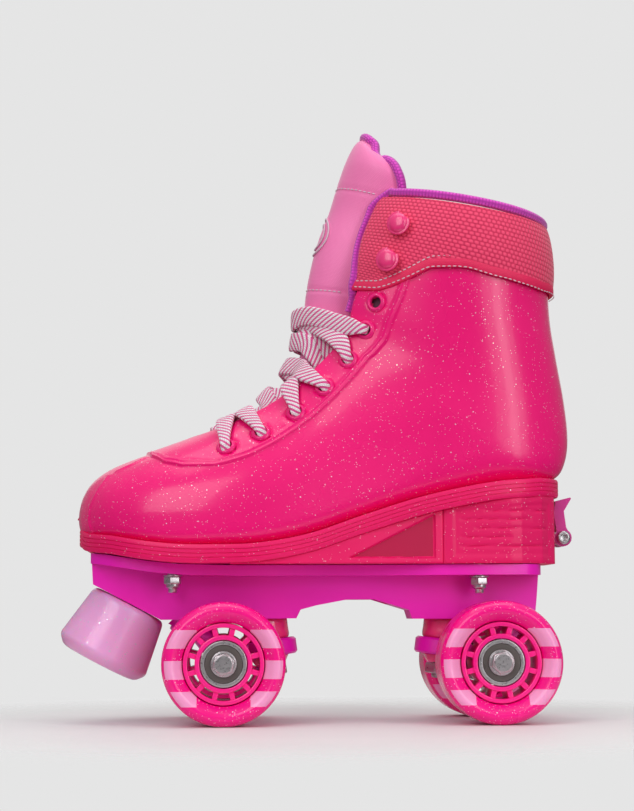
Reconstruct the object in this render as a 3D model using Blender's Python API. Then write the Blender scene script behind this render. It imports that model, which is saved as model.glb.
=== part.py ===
"""A left quad roller skate: a moulded ankle boot on a nylon plate with two steering trucks and four wheels.

Lengths are in millimetres here and become metres where a mesh is made (MM).
X runs from toe (-) to heel (+), -Y is the wearer's left, +Z is up and the wheels stand on Z = 0.
X = 0 of the numbers below is midway between the axles; the empty "skate" carries everything to
the frame whose origin is the bottom centre of the whole object.
"""

import math

import bmesh
import bpy
import numpy as np
from mathutils import Matrix, Vector

MM = 0.001

# ---------------------------------------------------------------- driving sizes
GAP = 0.35                  # air left between two pieces that touch
ORIGIN_X = 19.9             # mid-wheelbase ahead of the bottom centre of the whole skate

WHEELBASE = 130.0
WHEEL_R = 29.0
WHEEL_W = 31.0
TRACK = 78.0                # between the centre planes of a left and a right wheel
AXLE_R = 4.0
BEARING_R = 11.0
BEARING_W = 7.0
HUB_W = 23.0                # width of the wheel's core, with a bearing sunk in each face
CORE_R = 19.0
NUT_FLATS = 11.0
NUT_W = 5.5

PLATE_TOP = 75.4
FLANGE_T = 5.0
FLANGE_HALF_W = 31.0
PLATE_FRONT_X = -129.0
WEB_HALF_W = 14.5
TRUCK_SEAT_Z = 50.0         # underside of the plate where the upper cushion bears
ARCH_Z = 59.0

KINGPIN_INSET = 22.0        # kingpin behind the front axle, ahead of the rear axle
KINGPIN_R = 4.0
CUSHION_R = 11.2
RING_R = 14.0
RING_BORE_R = 6.0
RING_Z = 35.5
RING_T = 8.0
RECESS = 0.5                # how far the cushions sit down in the ring
LOWER_CUSHION_H = 4.0
KINGPIN_NUT_FLATS = 13.0
KINGPIN_NUT_H = 5.0
HANGER_TUBE_R = 8.0
HANGER_HALF_W = 20.5
PIVOT_OUT = 15.5            # pivot tip beyond the axle, away from the kingpin
PIVOT_Z = 47.5
PIVOT_R = 4.5
PIVOT_CUP_R = 7.0
PIVOT_CUP_H = 8.0

BOLT_X = (-89.3, 58.3)
BOLT_Y = 24.0
BOLT_R = 2.5
BOLT_NUT_FLATS = 9.0

STOP_TILT = math.radians(27.8)
STOP_TOP = (-110.9, 57.4)   # centre of the toe stop's upper face
STOP_TOP_R = 19.0
STOP_FOOT_R = 23.6
STOP_H = 32.0
STOP_EDGE = 3.5
STOP_STEM_R = 5.0
STOP_STEM_IN_PLATE = 11.0
STOP_STEM_IN_STOP = 20.0

SHELL_T = 3.0
LINER_T = 4.0
COLLAR_T = 3.6
SOLE_T = 5.6
FOOTBED_T = 4.0
TONGUE_T = 6.0
PIPING_R = 2.3
EYELET_R = 4.0
LACE_W = 8.0
LACE_T = 1.5
HOOK_R = 5.6

HEEL_X = (39.8, 100.0)
HEEL_HALF_W = 32.5
HEEL_WALL = 4.0
SHANK_HALF_W = 27.0

CLAMP_Z = 88.8              # height of the clamp rod and of the lever's pin
LEVER_PIN_X = 102.0
LEVER_HALF_W = 9.0
LEVER_BARREL_R = 4.3
LEVER_PIN_R = 2.1
ROD_R = 2.5
SLIDE_TRAVEL = 24.0         # how far the inner heel cup comes forward
NECK_X = (74.0, 84.0)        # the carriage's neck, through the sole
SLOT_HALF_W = 5.0
SLOT_X0 = NECK_X[0] - SLIDE_TRAVEL - 1.0
SLOT_X1 = NECK_X[1] + 1.0

ROUND = 24                  # sides of an ordinary round piece
FINE_ROUND = 28             # sides of a tyre, a flat one at the bottom

FRONT_X, REAR_X = -WHEELBASE / 2, WHEELBASE / 2
AXLE_Z = WHEEL_R

# ---------------------------------------------------------------- the boot's form
# Each station is a section through the boot: where it meets the front profile (x, z) and the back or
# bottom profile (x, z), its half width, how far it leans to the inner side, where along it the boot is
# widest (0 front, 1 back) and how square its front and back quarters are (2 is an ellipse).
STATIONS = np.array([
    (-136.3, 99.0, -136.3, 99.0, 0.0, 7.0, 0.55, 2.0, 2.0),
    (-135.6, 104.5, -135.4, 93.6, 9.5, 7.0, 0.60, 2.0, 2.2),
    (-133.6, 110.8, -133.0, 89.9, 17.5, 6.8, 0.65, 2.1, 2.8),
    (-129.2, 117.2, -128.0, 88.5, 26.0, 6.0, 0.68, 2.1, 3.4),
    (-121.0, 123.2, -119.0, 87.4, 34.0, 5.0, 0.70, 2.1, 4.0),
    (-108.5, 128.4, -105.5, 85.0, 40.2, 3.5, 0.72, 2.1, 4.5),
    (-93.0, 133.6, -88.0, 83.0, 44.0, 2.0, 0.73, 2.1, 5.0),
    (-77.0, 139.5, -69.0, 82.6, 45.5, 1.0, 0.73, 2.05, 5.0),
    (-61.5, 147.5, -48.0, 83.4, 44.5, 0.0, 0.72, 1.95, 5.0),
    (-47.0, 158.0, -24.0, 87.8, 41.5, 0.0, 0.70, 1.85, 5.0),
    (-34.5, 170.5, 2.0, 96.6, 38.0, 0.0, 0.68, 1.8, 5.0),
    (-26.0, 182.5, 32.0, 105.9, 35.5, 0.0, 0.64, 1.8, 5.0),
    (-21.5, 190.5, 64.0, 112.4, 34.5, 0.0, 0.60, 1.8, 4.5),
    (-19.0, 195.0, 88.0, 114.8, 34.2, 0.0, 0.57, 1.85, 3.6),
    (-17.4, 198.0, 99.5, 118.4, 34.0, 0.0, 0.55, 1.9, 2.9),
    (-16.0, 201.0, 104.4, 126.5, 34.0, 0.0, 0.54, 1.9, 2.5),
    (-14.2, 205.0, 106.0, 139.0, 34.2, 0.0, 0.53, 1.95, 2.3),
    (-11.8, 210.5, 104.4, 157.0, 34.8, 0.0, 0.52, 2.0, 2.2),
    (-8.2, 218.5, 101.2, 176.0, 35.6, 0.0, 0.51, 2.0, 2.2),
    (-4.2, 229.0, 98.2, 196.0, 36.5, 0.0, 0.50, 2.0, 2.2),
    (1.0, 242.0, 97.0, 219.0, 37.3, 0.0, 0.50, 2.0, 2.2),
    (7.5, 256.5, 95.5, 241.5, 38.0, 0.0, 0.50, 2.0, 2.2),
])
TOP = len(STATIONS) - 1.0
THROAT_START = 6.7          # station where the throat opens
# station, half width of the throat
THROAT = np.array([(6.7, 0.0), (7.0, 8.0), (7.5, 12.5), (8.0, 15.5), (9.0, 18.0), (10.0, 19.0),
                   (12.0, 18.6), (16.0, 19.0), (18.0, 20.5), (21.0, 22.0)])
# station and depth along the section of each eyelet, toe to top, then of the two lace hooks
EYELETS = ((7.7, 0.22), (8.68, 0.24), (9.7, 0.255), (10.7, 0.243), (12.0, 0.203), (15.2, 0.168), (17.2, 0.18))
LACED = 6
HOOKS = ((19.0, 0.21), (20.15, 0.22))
# station of the collar's lower edge against the angle round the boot, in half turns from the throat
COLLAR_EDGE = np.array([(0.0, 17.65), (0.11, 17.94), (0.213, 18.6), (0.31, 19.22), (0.436, 19.5), (0.58, 19.48), (0.778, 19.25),
                        (1.0, 19.3)])

# x, and how far the sole reaches on the outer (-Y) and the inner side
SOLE_EDGE = np.array([
    (-135.3, -1.0, 14.5), (-133.6, -9.0, 22.5), (-129.5, -18.5, 31.0), (-121.0, -28.6, 39.0), (-107.0, -37.8, 44.4),
    (-89.0, -43.2, 47.2), (-69.0, -46.0, 48.0), (-48.0, -45.6, 45.6), (-24.0, -42.4, 42.4), (2.0, -39.0, 39.0),
    (32.0, -36.6, 36.6), (60.0, -35.4, 35.4), (78.0, -32.6, 32.6), (89.0, -26.6, 26.6), (96.0, -18.4, 18.4),
    (99.6, -9.6, 9.6), (100.5, -4.0, 4.0)])

# x and height of the tongue's crest, its half width and its depth from crest to edge
TONGUE = np.array([
    (-75.0, 133.0, 4.0, 3.0), (-62.0, 140.2, 8.0, 8.0), (-50.0, 149.0, 11.0, 15.0), (-38.0, 161.0, 12.8, 21.0),
    (-29.0, 174.0, 12.8, 24.0), (-25.5, 187.0, 11.6, 25.0), (-24.8, 200.0, 11.6, 26.0), (-23.6, 212.0, 14.0, 28.0),
    (-20.8, 226.0, 16.0, 29.0), (-17.0, 239.0, 16.6, 29.0), (-12.0, 252.0, 17.2, 29.0), (-8.0, 265.0, 21.0, 32.0),
    (-3.6, 277.5, 23.0, 27.0), (1.0, 286.5, 18.5, 18.5), (6.0, 290.5, 11.0, 9.0)])

PINK = (0.86, 0.03, 0.25)
CORAL = (0.90, 0.03, 0.16)
MAGENTA = (0.72, 0.005, 0.48)
ORCHID = (0.60, 0.05, 0.50)
BLUSH = (0.95, 0.25, 0.50)
STEEL = (0.62, 0.62, 0.62)


# ---------------------------------------------------------------- small tools
def material(name, colour, roughness, metallic=0.0):
    """A plain Principled finish, made once for each name."""
    found = bpy.data.materials.get(name)
    if found:
        return found
    made = bpy.data.materials.new(name)
    made.use_nodes = True
    shader = made.node_tree.nodes["Principled BSDF"]
    shader.inputs["Base Color"].default_value = (*colour, 1.0)
    shader.inputs["Roughness"].default_value = roughness
    shader.inputs["Metallic"].default_value = metallic
    made.diffuse_color = (*colour, 1.0)
    return made


def add_object(name, mesh, finish, parent=None, at=(0.0, 0.0, 0.0)):
    """Links a mesh as a named sub-part under its parent empty, at a place given in millimetres."""
    obj = bpy.data.objects.new(name, mesh)
    bpy.context.scene.collection.objects.link(obj)
    obj.parent = parent or skate
    obj.location = Vector(at) * MM
    if finish is not None:
        mesh.materials.append(finish)
    return obj


def empty(name, at, parent=None):
    made = bpy.data.objects.new(name, None)
    bpy.context.scene.collection.objects.link(made)
    made.parent = parent
    made.location = Vector(at) * MM
    return made


def mesh_of(name, points, faces, merge=1e-5, smooth=True):
    """A closed mesh from millimetre points, with coincident points merged and its faces turned outwards."""
    mesh = bpy.data.meshes.new(name)
    mesh.from_pydata((np.asarray(points, float) * MM).tolist(), [], faces)
    made = bmesh.new()
    made.from_mesh(mesh)
    bmesh.ops.remove_doubles(made, verts=made.verts, dist=merge)
    bmesh.ops.recalc_face_normals(made, faces=made.faces)
    made.to_mesh(mesh)
    made.free()
    if smooth:
        mesh.shade_smooth()
        mesh.set_sharp_from_angle(angle=math.radians(35))
    return mesh


def grid_faces(rows, columns, first=0, wrap=False):
    """Quads of a grid of rows by columns points; wrap joins the last column to the first."""
    across = columns if wrap else columns - 1
    return [
        (first + r * columns + c, first + r * columns + (c + 1) % columns,
         first + (r + 1) * columns + (c + 1) % columns, first + (r + 1) * columns + c)
        for r in range(rows - 1) for c in range(across)
    ]


def slab_mesh(name, outer, inner, merge=1e-5, joined_rows=0):
    """A wall between two sheets of the same grid, closed along the grid's edges. The first joined_rows rows
    come round to meet themselves, so they have no side edges to close."""
    rows, columns = outer.shape[:2]
    count = rows * columns
    points = np.concatenate([outer.reshape(-1, 3), inner.reshape(-1, 3)])
    faces = grid_faces(rows, columns)
    faces += [tuple(reversed(f)) for f in grid_faces(rows, columns, count)]
    ends = [((0, c), (0, c + 1)) for c in range(columns - 1)]
    ends += [((rows - 1, c + 1), (rows - 1, c)) for c in range(columns - 1)]
    ends += [((r, columns - 1), (r + 1, columns - 1)) for r in range(joined_rows, rows - 1)]
    ends += [((r + 1, 0), (r, 0)) for r in range(joined_rows, rows - 1)]
    for (r0, c0), (r1, c1) in ends:
        a, b = r0 * columns + c0, r1 * columns + c1
        faces.append((a, b, b + count, a + count))
    return mesh_of(name, points, faces, merge)


def lathe_mesh(name, profile, sides, axis="Z", turn=0.0):
    """A solid turned from (radius, height) points, from the lower end to the upper end. Radius 0 closes an
    end; a profile that starts and ends off the axis comes back on itself, as a ring's does."""
    closed_ring = profile[0][0] > 0 and profile[-1][0] > 0
    angles = [turn + 2 * math.pi * i / sides for i in range(sides)]
    points = [(r * math.cos(a), r * math.sin(a), z) for r, z in profile for a in angles]
    rows = len(profile)
    faces = grid_faces(rows, sides, wrap=True)
    if closed_ring:
        last = (rows - 1) * sides
        faces += [(last + i, last + (i + 1) % sides, (i + 1) % sides, i) for i in range(sides)]
    points = np.array(points)
    if axis == "Y":
        points = points[:, [0, 2, 1]] * (1, 1, 1)
    elif axis == "X":
        points = points[:, [2, 0, 1]]
    return mesh_of(name, points, faces)


def prism_mesh(name, outline, low, high, axis="Z"):
    """A straight prism of a closed outline between two heights along an axis."""
    n = len(outline)
    points = [(x, y, h) for h in (low, high) for x, y in outline]
    faces = [tuple(range(n))[::-1], tuple(range(n, 2 * n))]
    faces += [(i, (i + 1) % n, n + (i + 1) % n, n + i) for i in range(n)]
    points = np.array(points)
    if axis == "Y":
        points = points[:, [0, 2, 1]]
    elif axis == "X":
        points = points[:, [2, 0, 1]]
    return mesh_of(name, points, faces, smooth=False)


def box_mesh(name, low, high):
    (x0, y0, z0), (x1, y1, z1) = low, high
    return prism_mesh(name, [(x0, y0), (x1, y0), (x1, y1), (x0, y1)], z0, z1)


def hexagon(flats, turn=0.0):
    corner = flats / math.sqrt(3)
    return [(corner * math.cos(turn + math.pi * i / 3), corner * math.sin(turn + math.pi * i / 3)) for i in range(6)]


def cut(target, cutters, operation="DIFFERENCE"):
    """Applies Booleans to target one after another, tidies the mesh each time and removes the tools."""
    for tool in cutters:
        step = target.modifiers.new(operation.title(), "BOOLEAN")
        step.operation = operation
        step.solver = "EXACT"
        step.object = tool
        tool.hide_render = True
        tool.display_type = "WIRE"
        bpy.context.view_layer.update()
        graph = bpy.context.evaluated_depsgraph_get()
        made = bpy.data.meshes.new_from_object(target.evaluated_get(graph))
        target.modifiers.clear()
        tidy = bmesh.new()
        tidy.from_mesh(made)
        bmesh.ops.remove_doubles(tidy, verts=tidy.verts, dist=5e-6)
        bmesh.ops.dissolve_degenerate(tidy, edges=tidy.edges, dist=2e-6)
        tidy.to_mesh(made)
        tidy.free()
        made.name = target.data.name
        target.data = made
        bpy.data.objects.remove(tool)
    return target


def curve_through(points, count, closed=False):
    """Points evenly shared out along a Catmull-Rom curve through the given ones."""
    points = np.asarray(points, float)
    n = len(points)
    spans = n if closed else n - 1
    at = np.linspace(0, spans, count, endpoint=not closed)
    i = np.minimum(at.astype(int), spans - 1)
    f = (at - i)[:, None]
    pick = (lambda k: points[k % n]) if closed else (lambda k: points[np.clip(k, 0, n - 1)])
    p0, p1, p2, p3 = pick(i - 1), pick(i), pick(i + 1), pick(i + 2)
    if not closed:
        p0 = np.where((i == 0)[:, None], 2 * p1 - p2, p0)
        p3 = np.where((i == n - 2)[:, None], 2 * p2 - p1, p3)
    return 0.5 * (2 * p1 + (p2 - p0) * f + (2 * p0 - 5 * p1 + 4 * p2 - p3) * f**2 + (3 * p1 - p0 - 3 * p2 + p3) * f**3)


def curve_at(table, at):
    """A Catmull-Rom reading of a table's rows at fractional row numbers."""
    n = len(table)
    at = np.clip(np.asarray(at, float), 0, n - 1)
    i = np.minimum(at.astype(int), n - 2)
    f = (at - i)[..., None]
    p1, p2 = table[i], table[i + 1]
    p0 = np.where((i == 0)[..., None], 2 * p1 - p2, table[np.maximum(i - 1, 0)])
    p3 = np.where((i == n - 2)[..., None], 2 * p2 - p1, table[np.minimum(i + 2, n - 1)])
    return 0.5 * (2 * p1 + (p2 - p0) * f + (2 * p0 - 5 * p1 + 4 * p2 - p3) * f**2 + (3 * p1 - p0 - 3 * p2 + p3) * f**3)


# ---------------------------------------------------------------- the boot's surface
def boot_surface(t, angle):
    """A point of the boot's outside at station t. The angle runs from 0 on the front profile, through a
    quarter turn where the boot is widest on the outer side, to a half turn on the back profile and on round."""
    s = curve_at(STATIONS, t)
    ix, iz, ox, oz, width, lean, widest, front, back = np.moveaxis(s, -1, 0)
    sine, cosine = np.sin(angle), np.cos(angle)
    ahead = cosine > 0
    power = 2 / np.where(ahead, front, back)
    reach = np.abs(cosine) ** power
    along = np.where(ahead, widest * (1 - reach), widest + (1 - widest) * reach)
    side = -np.sign(sine) * np.maximum(width, 0) * np.abs(sine) ** power + lean
    return np.stack([ix + (ox - ix) * along, side, iz + (oz - iz) * along], -1)


def boot_normal(t, angle, step=0.02):
    """The boot surface's outward direction; it points ahead at the nose, where the stations shrink to a point."""
    t, angle = np.broadcast_arrays(np.asarray(t, float), np.asarray(angle, float))
    along = boot_surface(np.minimum(t + step, TOP), angle) - boot_surface(np.maximum(t - step, 0), angle)
    round_ = boot_surface(t, angle + step) - boot_surface(t, angle - step)
    normal = np.cross(round_, along)
    size = np.linalg.norm(normal, axis=-1, keepdims=True)
    normal = np.where(size > 1e-9, normal / np.maximum(size, 1e-9), (-1.0, 0.0, 0.0))
    nose = np.clip(1 - t / 0.6, 0, 1)[..., None]
    normal = normal * (1 - nose) + np.array([-1.0, 0.0, 0.0]) * nose
    return normal / np.linalg.norm(normal, axis=-1, keepdims=True)


def boot_point(t, angle, out=0.0):
    """A point at a height above (or, negative, a depth below) the boot's outside."""
    return boot_surface(t, angle) + boot_normal(t, angle) * np.asarray(out, float)[..., None]


def throat_angle(t, wider=0.0):
    """The angle of the throat's edge at station t; wider moves it back by that many millimetres."""
    t = np.asarray(t, float)
    half = np.interp(t, THROAT[:, 0], THROAT[:, 1]) + wider
    s = curve_at(STATIONS, t)
    share = np.clip(half / np.maximum(s[..., 4], 1.0), 0, 0.98)
    return np.where(t < THROAT_START - 1e-6, 0.0, np.arcsin(share ** (s[..., 7] / 2)))


def depth_angle(t, along):
    """The angle at which a section has gone a share of its length from the front profile."""
    s = curve_at(STATIONS, t)
    return np.arccos((1 - along / s[..., 6]) ** (s[..., 7] / 2))


SOLE_LINE = curve_at(STATIONS, np.linspace(1.5, 13.0, 120))[:, 2:4]


def seam_height(x):
    """Height of the sole's top: just under the lowest line of the boot."""
    return np.interp(x, SOLE_LINE[:, 0], SOLE_LINE[:, 1]) - GAP - 0.5


def sole_under(x):
    return seam_height(x) - SOLE_T


def plate_top(x):
    """The plate lies flat and curls up under the sole towards the nose."""
    x = np.asarray(x, float)
    return np.where(x < -60.0, np.minimum(sole_under(x) - GAP, PLATE_TOP + 10), PLATE_TOP)


# ---------------------------------------------------------------- the boot
def boot_angles(t, columns, wider=0.0):
    """Angles round the boot from throat edge to throat edge, crowded a little towards the edges and sole."""
    edge = throat_angle(t, wider)[:, None]
    share = np.linspace(0, 1, columns)[None, :]
    return edge + (2 * math.pi - 2 * edge) * share


SHELL_ROWS = np.array([0, 0.6, 1.3, 2.2, 3.2, 4.4, 5.6, THROAT_START, 7.4, 8.5, 10, 11.5, 12.7, 13.6, 14.5, 15.6,
                       17, 19, TOP])


def eyelet_cutters(stations, radius, depth):
    """Cylinders along the boot's normal at each eyelet, both sides."""
    tools = []
    for t, along in stations:
        for side in (1, -1):
            angle = float(depth_angle(t, along)) * side
            centre = boot_surface(np.array(t), np.array(angle))
            normal = boot_normal(np.array(t), np.array(angle))
            mesh = lathe_mesh("eyelet_cutter", [(0, -depth), (radius, -depth), (radius, depth), (0, depth)], 10)
            tool = add_object("eyelet_cutter", mesh, None)
            turn = Vector(normal).to_track_quat("Z", "Y")
            tool.rotation_mode = "QUATERNION"
            tool.rotation_quaternion = turn
            tool.location = Vector(centre) * MM
            tools.append(tool)
    return tools


def slot_cutter(low, high):
    """The slot through the boot's floor in which the carriage's neck travels."""
    return add_object("slot_cutter", box_mesh("slot_cutter", (SLOT_X0, -SLOT_HALF_W, low), (SLOT_X1, SLOT_HALF_W, high)), None)


def make_boot_shell():
    t = SHELL_ROWS[:, None]
    angle = boot_angles(SHELL_ROWS, 19)
    outer = boot_point(t, angle, 0.0)
    inner = boot_point(t, angle, -SHELL_T)
    joined = int(np.sum(SHELL_ROWS < THROAT_START))
    shell = add_object("boot_shell", slab_mesh("boot_shell", outer, inner, 2e-5, joined), material("boot_plastic", PINK, 0.3))
    bolts = [round_cutter(BOLT_X[0], y, BOLT_R + 0.3, 70, 94) for y in (-BOLT_Y, BOLT_Y)]
    return cut(shell, eyelet_cutters(EYELETS, EYELET_R, 6.0) + bolts + [slot_cutter(100.0, 130.0)])



def make_liner():
    """The padded lining of the cuff, from above the heel cup to the top."""
    rows = np.array([17.4, 18.2, 19.1, 20, TOP])
    t = rows[:, None]
    angle = boot_angles(rows, 19, 5.0)
    mesh = slab_mesh("liner", boot_point(t, angle, -SHELL_T - 3 * GAP), boot_point(t, angle, -SHELL_T - 3 * GAP - LINER_T))
    return add_object("liner", mesh, material("lining", ORCHID, 0.9))


def make_collar():
    """The woven cuff round the outside of the boot's top; its lower edge waves."""
    share = np.linspace(0, 1, 25)
    lower = np.interp(np.minimum(share, 1 - share) * 2, COLLAR_EDGE[:, 0], COLLAR_EDGE[:, 1])
    rows = np.linspace(0, 1, 5)[:, None]
    t = lower[None, :] * (1 - rows) + TOP * rows
    edge = throat_angle(t, -1.0)
    angle = edge + (2 * math.pi - 2 * edge) * share[None, :]
    mesh = slab_mesh("collar", boot_point(t, angle, GAP + COLLAR_T), boot_point(t, angle, GAP))
    return add_object("collar", mesh, material("cuff_weave", CORAL, 0.8))


def sweep(name, path, across, width, thick, sides=4):
    """A ribbon (four sides) or a round cord along a path, closed by flat ends. The vectors across lie in
    the ribbon's plane; width and thick may change along it."""
    path = np.asarray(path, float)
    n = len(path)
    tangent = np.gradient(path, axis=0)
    tangent /= np.linalg.norm(tangent, axis=1, keepdims=True)
    across = across - tangent * np.sum(across * tangent, axis=1, keepdims=True)
    across /= np.linalg.norm(across, axis=1, keepdims=True)
    up = np.cross(tangent, across)
    width, thick = np.broadcast_to(width, n)[:, None], np.broadcast_to(thick, n)[:, None]
    turns = [2 * math.pi * (k + 0.5) / sides for k in range(sides)]
    stretch = math.sqrt(2) if sides == 4 else 1.0
    rings = [path + (across * width * math.cos(a) + up * thick * math.sin(a)) * 0.5 * stretch for a in turns]
    points = np.stack(rings, 1).reshape(-1, 3)
    faces = grid_faces(n, sides, wrap=True) + [tuple(range(sides))[::-1], tuple(range((n - 1) * sides, n * sides))]
    return mesh_of(name, points, faces)


def make_collar_piping():
    share = np.linspace(0, 1, 29)
    edge = float(throat_angle(TOP, 1.2))
    angle = edge + (2 * math.pi - 2 * edge) * share
    path = boot_point(np.full(29, TOP), angle, 0.2)
    rise = boot_surface(np.full(29, TOP), angle) - boot_surface(np.full(29, TOP - 1), angle)
    rise /= np.linalg.norm(rise, axis=1, keepdims=True)
    path = path + rise * (PIPING_R + GAP + 0.5)
    mesh = sweep("collar_piping", path, np.tile((0.0, 0.0, 1.0), (29, 1)), 2 * PIPING_R, 2 * PIPING_R, 6)
    return add_object("collar_piping", mesh, material("piping", MAGENTA, 0.6))


def tongue_frame(rows):
    """Crest point, inward direction, half width and depth of the tongue at fractional rows of its table."""
    s = curve_at(TONGUE, rows)
    ahead = curve_at(TONGUE, np.minimum(rows + 0.05, len(TONGUE) - 1)) - curve_at(TONGUE, np.maximum(rows - 0.05, 0))
    along = ahead[..., :2] / np.linalg.norm(ahead[..., :2], axis=-1, keepdims=True)
    crest = np.stack([s[..., 0], np.zeros_like(s[..., 0]), s[..., 1]], -1)
    inward = np.stack([along[..., 1], np.zeros_like(s[..., 0]), -along[..., 0]], -1)
    return crest, inward, s[..., 2], s[..., 3]


def make_tongue():
    """A padded tongue: an arch across the throat, thin at its rim."""
    rows = np.linspace(0, len(TONGUE) - 1, 17)
    turn = np.linspace(-1, 1, 9) * math.pi / 2
    crest, inward, half, depth = tongue_frame(rows)
    rim = np.clip(np.minimum(rows, len(TONGUE) - 1 - rows) / 1.2, 0, 1) ** 0.5

    def sheet(inside):
        thick = inside * TONGUE_T * (0.45 + 0.55 * rim)
        side = np.sin(turn)[None, :] * (half - 0.55 * thick)[:, None]
        fall = (1 - np.abs(np.cos(turn)) ** 0.9)[None, :] * depth[:, None] + thick[:, None]
        points = crest[:, None] + inward[:, None] * fall[..., None]
        points[..., 1] = side
        return points

    return add_object("tongue", slab_mesh("tongue", sheet(0.0), sheet(1.0)), material("tongue_satin", BLUSH, 0.4))


def lace_path():
    """The lace from one tucked end, zigzag down to the toe, straight across and zigzag back up. Each run
    leaves an eyelet on the outside, crosses the tongue, dips under the far edge and comes out of its eyelet."""
    crest, inward, half, depth = tongue_frame(np.linspace(0, len(TONGUE) - 1, 400))
    stops = [(i, 1 if (LACED - 1 - i) % 2 == 0 else -1) for i in range(LACED - 1, -1, -1)]
    stops += [(i, -side) for i, side in reversed(stops)]
    points, across, width = [], [], []

    def put(point, wide, axis):
        points.append(np.asarray(point, float))
        width.append(wide)
        across.append(axis)

    def hole(i, side, out):
        t, along = EYELETS[i]
        angle = float(depth_angle(t, along)) * side
        return boot_point(np.array(t), np.array(angle), np.array(out))

    def over_tongue(at, turn, lift):
        """A point above the tongue, at the height where the boot's front profile is at station at."""
        k = int(np.argmin(np.linalg.norm(crest - boot_surface(np.array(at), np.array(0.0)), axis=1)))
        fall, rise = np.array([(1 - abs(math.cos(a)) ** 0.9) * depth[k] for a in (turn, turn + 0.01)])
        slope = np.array([rise - fall, (math.sin(turn + 0.01) - math.sin(turn)) * half[k]])
        slope /= np.linalg.norm(slope)
        point = crest[k] + inward[k] * (fall - slope[1] * lift)
        point[1] = math.sin(turn) * half[k] + slope[0] * lift
        return point

    for k, (i, side) in enumerate(stops):
        t, along = EYELETS[i]
        step = hole(i, side, 0.0) - boot_surface(np.array(t - 0.3), np.array(float(depth_angle(t - 0.3, along)) * side))
        axis = step / np.linalg.norm(step)
        narrow = 0.32 * LACE_W
        if k == 0:
            angle = float(depth_angle(t + 0.4, 0.34)) * side
            put(boot_point(np.array(t + 0.4), np.array(angle), np.array(-SHELL_T - 6.5)), narrow, axis)
            put(boot_point(np.array(t + 0.2), np.array(float(depth_angle(t + 0.2, 0.25)) * side),
                           np.array(-SHELL_T - 5.0)), narrow, axis)
        put(hole(i, side, -SHELL_T - 1.4), narrow, axis)
        put(hole(i, side, 3.0), narrow, axis)
        if k == len(stops) - 1:
            put(hole(i, side, 3.0), narrow, axis)
            continue
        j, far = stops[k + 1]
        u, _ = EYELETS[j]
        near_t, far_t = t + (u - t) * 0.22, t + (u - t) * 0.78
        lift = 5.2 if k < LACED - 1 else 2.5
        middle = boot_surface(np.array((t + u) / 2), np.array(0.0))
        crown = int(np.argmin(np.linalg.norm(crest - middle, axis=1)))
        lengthwise = np.array([-inward[crown][2], 0.0, inward[crown][0]])
        put(boot_point(np.array(near_t), np.array(float(throat_angle(near_t)) * side), np.array(3.1)), LACE_W, axis)
        put(over_tongue(t + (u - t) * 0.36, -0.62 * side, max(lift - 1.2, 2.5)), LACE_W, lengthwise)
        put(over_tongue((t + u) / 2, 0.0, lift), LACE_W, lengthwise)
        put(over_tongue(t + (u - t) * 0.64, -0.62 * far, max(lift - 1.2, 2.5)), LACE_W, lengthwise)
        put(boot_point(np.array(far_t), np.array(float(throat_angle(far_t)) * far), np.array(-SHELL_T - 2.4)),
            0.6 * LACE_W, axis)
    return np.array(points), np.array(across), np.array(width)


def make_lace():
    points, across, width = lace_path()
    count = (len(points) - 1) * 2 + 1
    path = curve_through(points, count)
    share = np.linspace(0, len(points) - 1, count)
    across = np.stack([np.interp(share, range(len(points)), across[:, k]) for k in range(3)], 1)
    wide = np.interp(share, range(len(points)), width)
    return add_object("lace", sweep("lace", path, across, wide, LACE_T), material("lace", BLUSH, 0.8))


def make_hook(name, t, along, side):
    """A round speed hook riveted on the cuff: a flat base, a neck and a domed cap."""
    r = HOOK_R
    profile = [(0, 0), (r * 0.8, 0), (r * 0.8, 1.0), (r * 0.45, 1.4), (r * 0.45, 2.4), (r, 2.6), (r * 0.9, 4.0),
               (r * 0.5, 5.0), (0, 5.3)]
    hook = add_object(name, lathe_mesh(name, profile, 14), material("hook_plastic", PINK, 0.35))
    angle = np.array(float(depth_angle(t, along)) * side)
    hook.rotation_mode = "QUATERNION"
    hook.rotation_quaternion = Vector(boot_normal(np.array(t), angle)).to_track_quat("Z", "Y")
    hook.location = Vector(boot_point(np.array(t), angle, np.array(COLLAR_T + 2 * GAP + 0.4))) * MM
    return hook


def lengthwise_slab(name, x, low_y, high_y, top, bottom, columns=3):
    """A slab given at a row of x by its two sides and by its top and underside."""
    share = np.linspace(0, 1, columns)[None, :]
    x = np.asarray(x, float)[:, None] * np.ones((1, columns))
    y = low_y[:, None] * (1 - share) + high_y[:, None] * share
    upper = np.stack([x, y, np.broadcast_to(np.reshape(top, (len(x), -1)), x.shape)], -1)
    lower = np.stack([x, y, np.broadcast_to(np.reshape(bottom, (len(x), -1)), x.shape)], -1)
    return slab_mesh(name, upper, lower)


def make_outsole():
    x = np.interp(np.linspace(0, len(SOLE_EDGE) - 1, 31), range(len(SOLE_EDGE)), SOLE_EDGE[:, 0])
    low, high = np.interp(x, SOLE_EDGE[:, 0], SOLE_EDGE[:, 1]), np.interp(x, SOLE_EDGE[:, 0], SOLE_EDGE[:, 2])
    mesh = lengthwise_slab("outsole", x, low, high, seam_height(x), sole_under(x))
    sole = add_object("outsole", mesh, material("sole", MAGENTA, 0.45))
    holes = [round_cutter(BOLT_X[0], y, BOLT_R + 0.3, 70, 90) for y in (-BOLT_Y, BOLT_Y)]
    return cut(sole, holes + [slot_cutter(100.0, 120.0)])


def round_cutter(x, y, radius, low, high, sides=12):
    """An upright cylinder."""
    tool = add_object("cutter", lathe_mesh("cutter", [(0, low), (radius, low), (radius, high), (0, high)], sides), None)
    tool.location = Vector((x, y, 0)) * MM
    return tool


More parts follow.
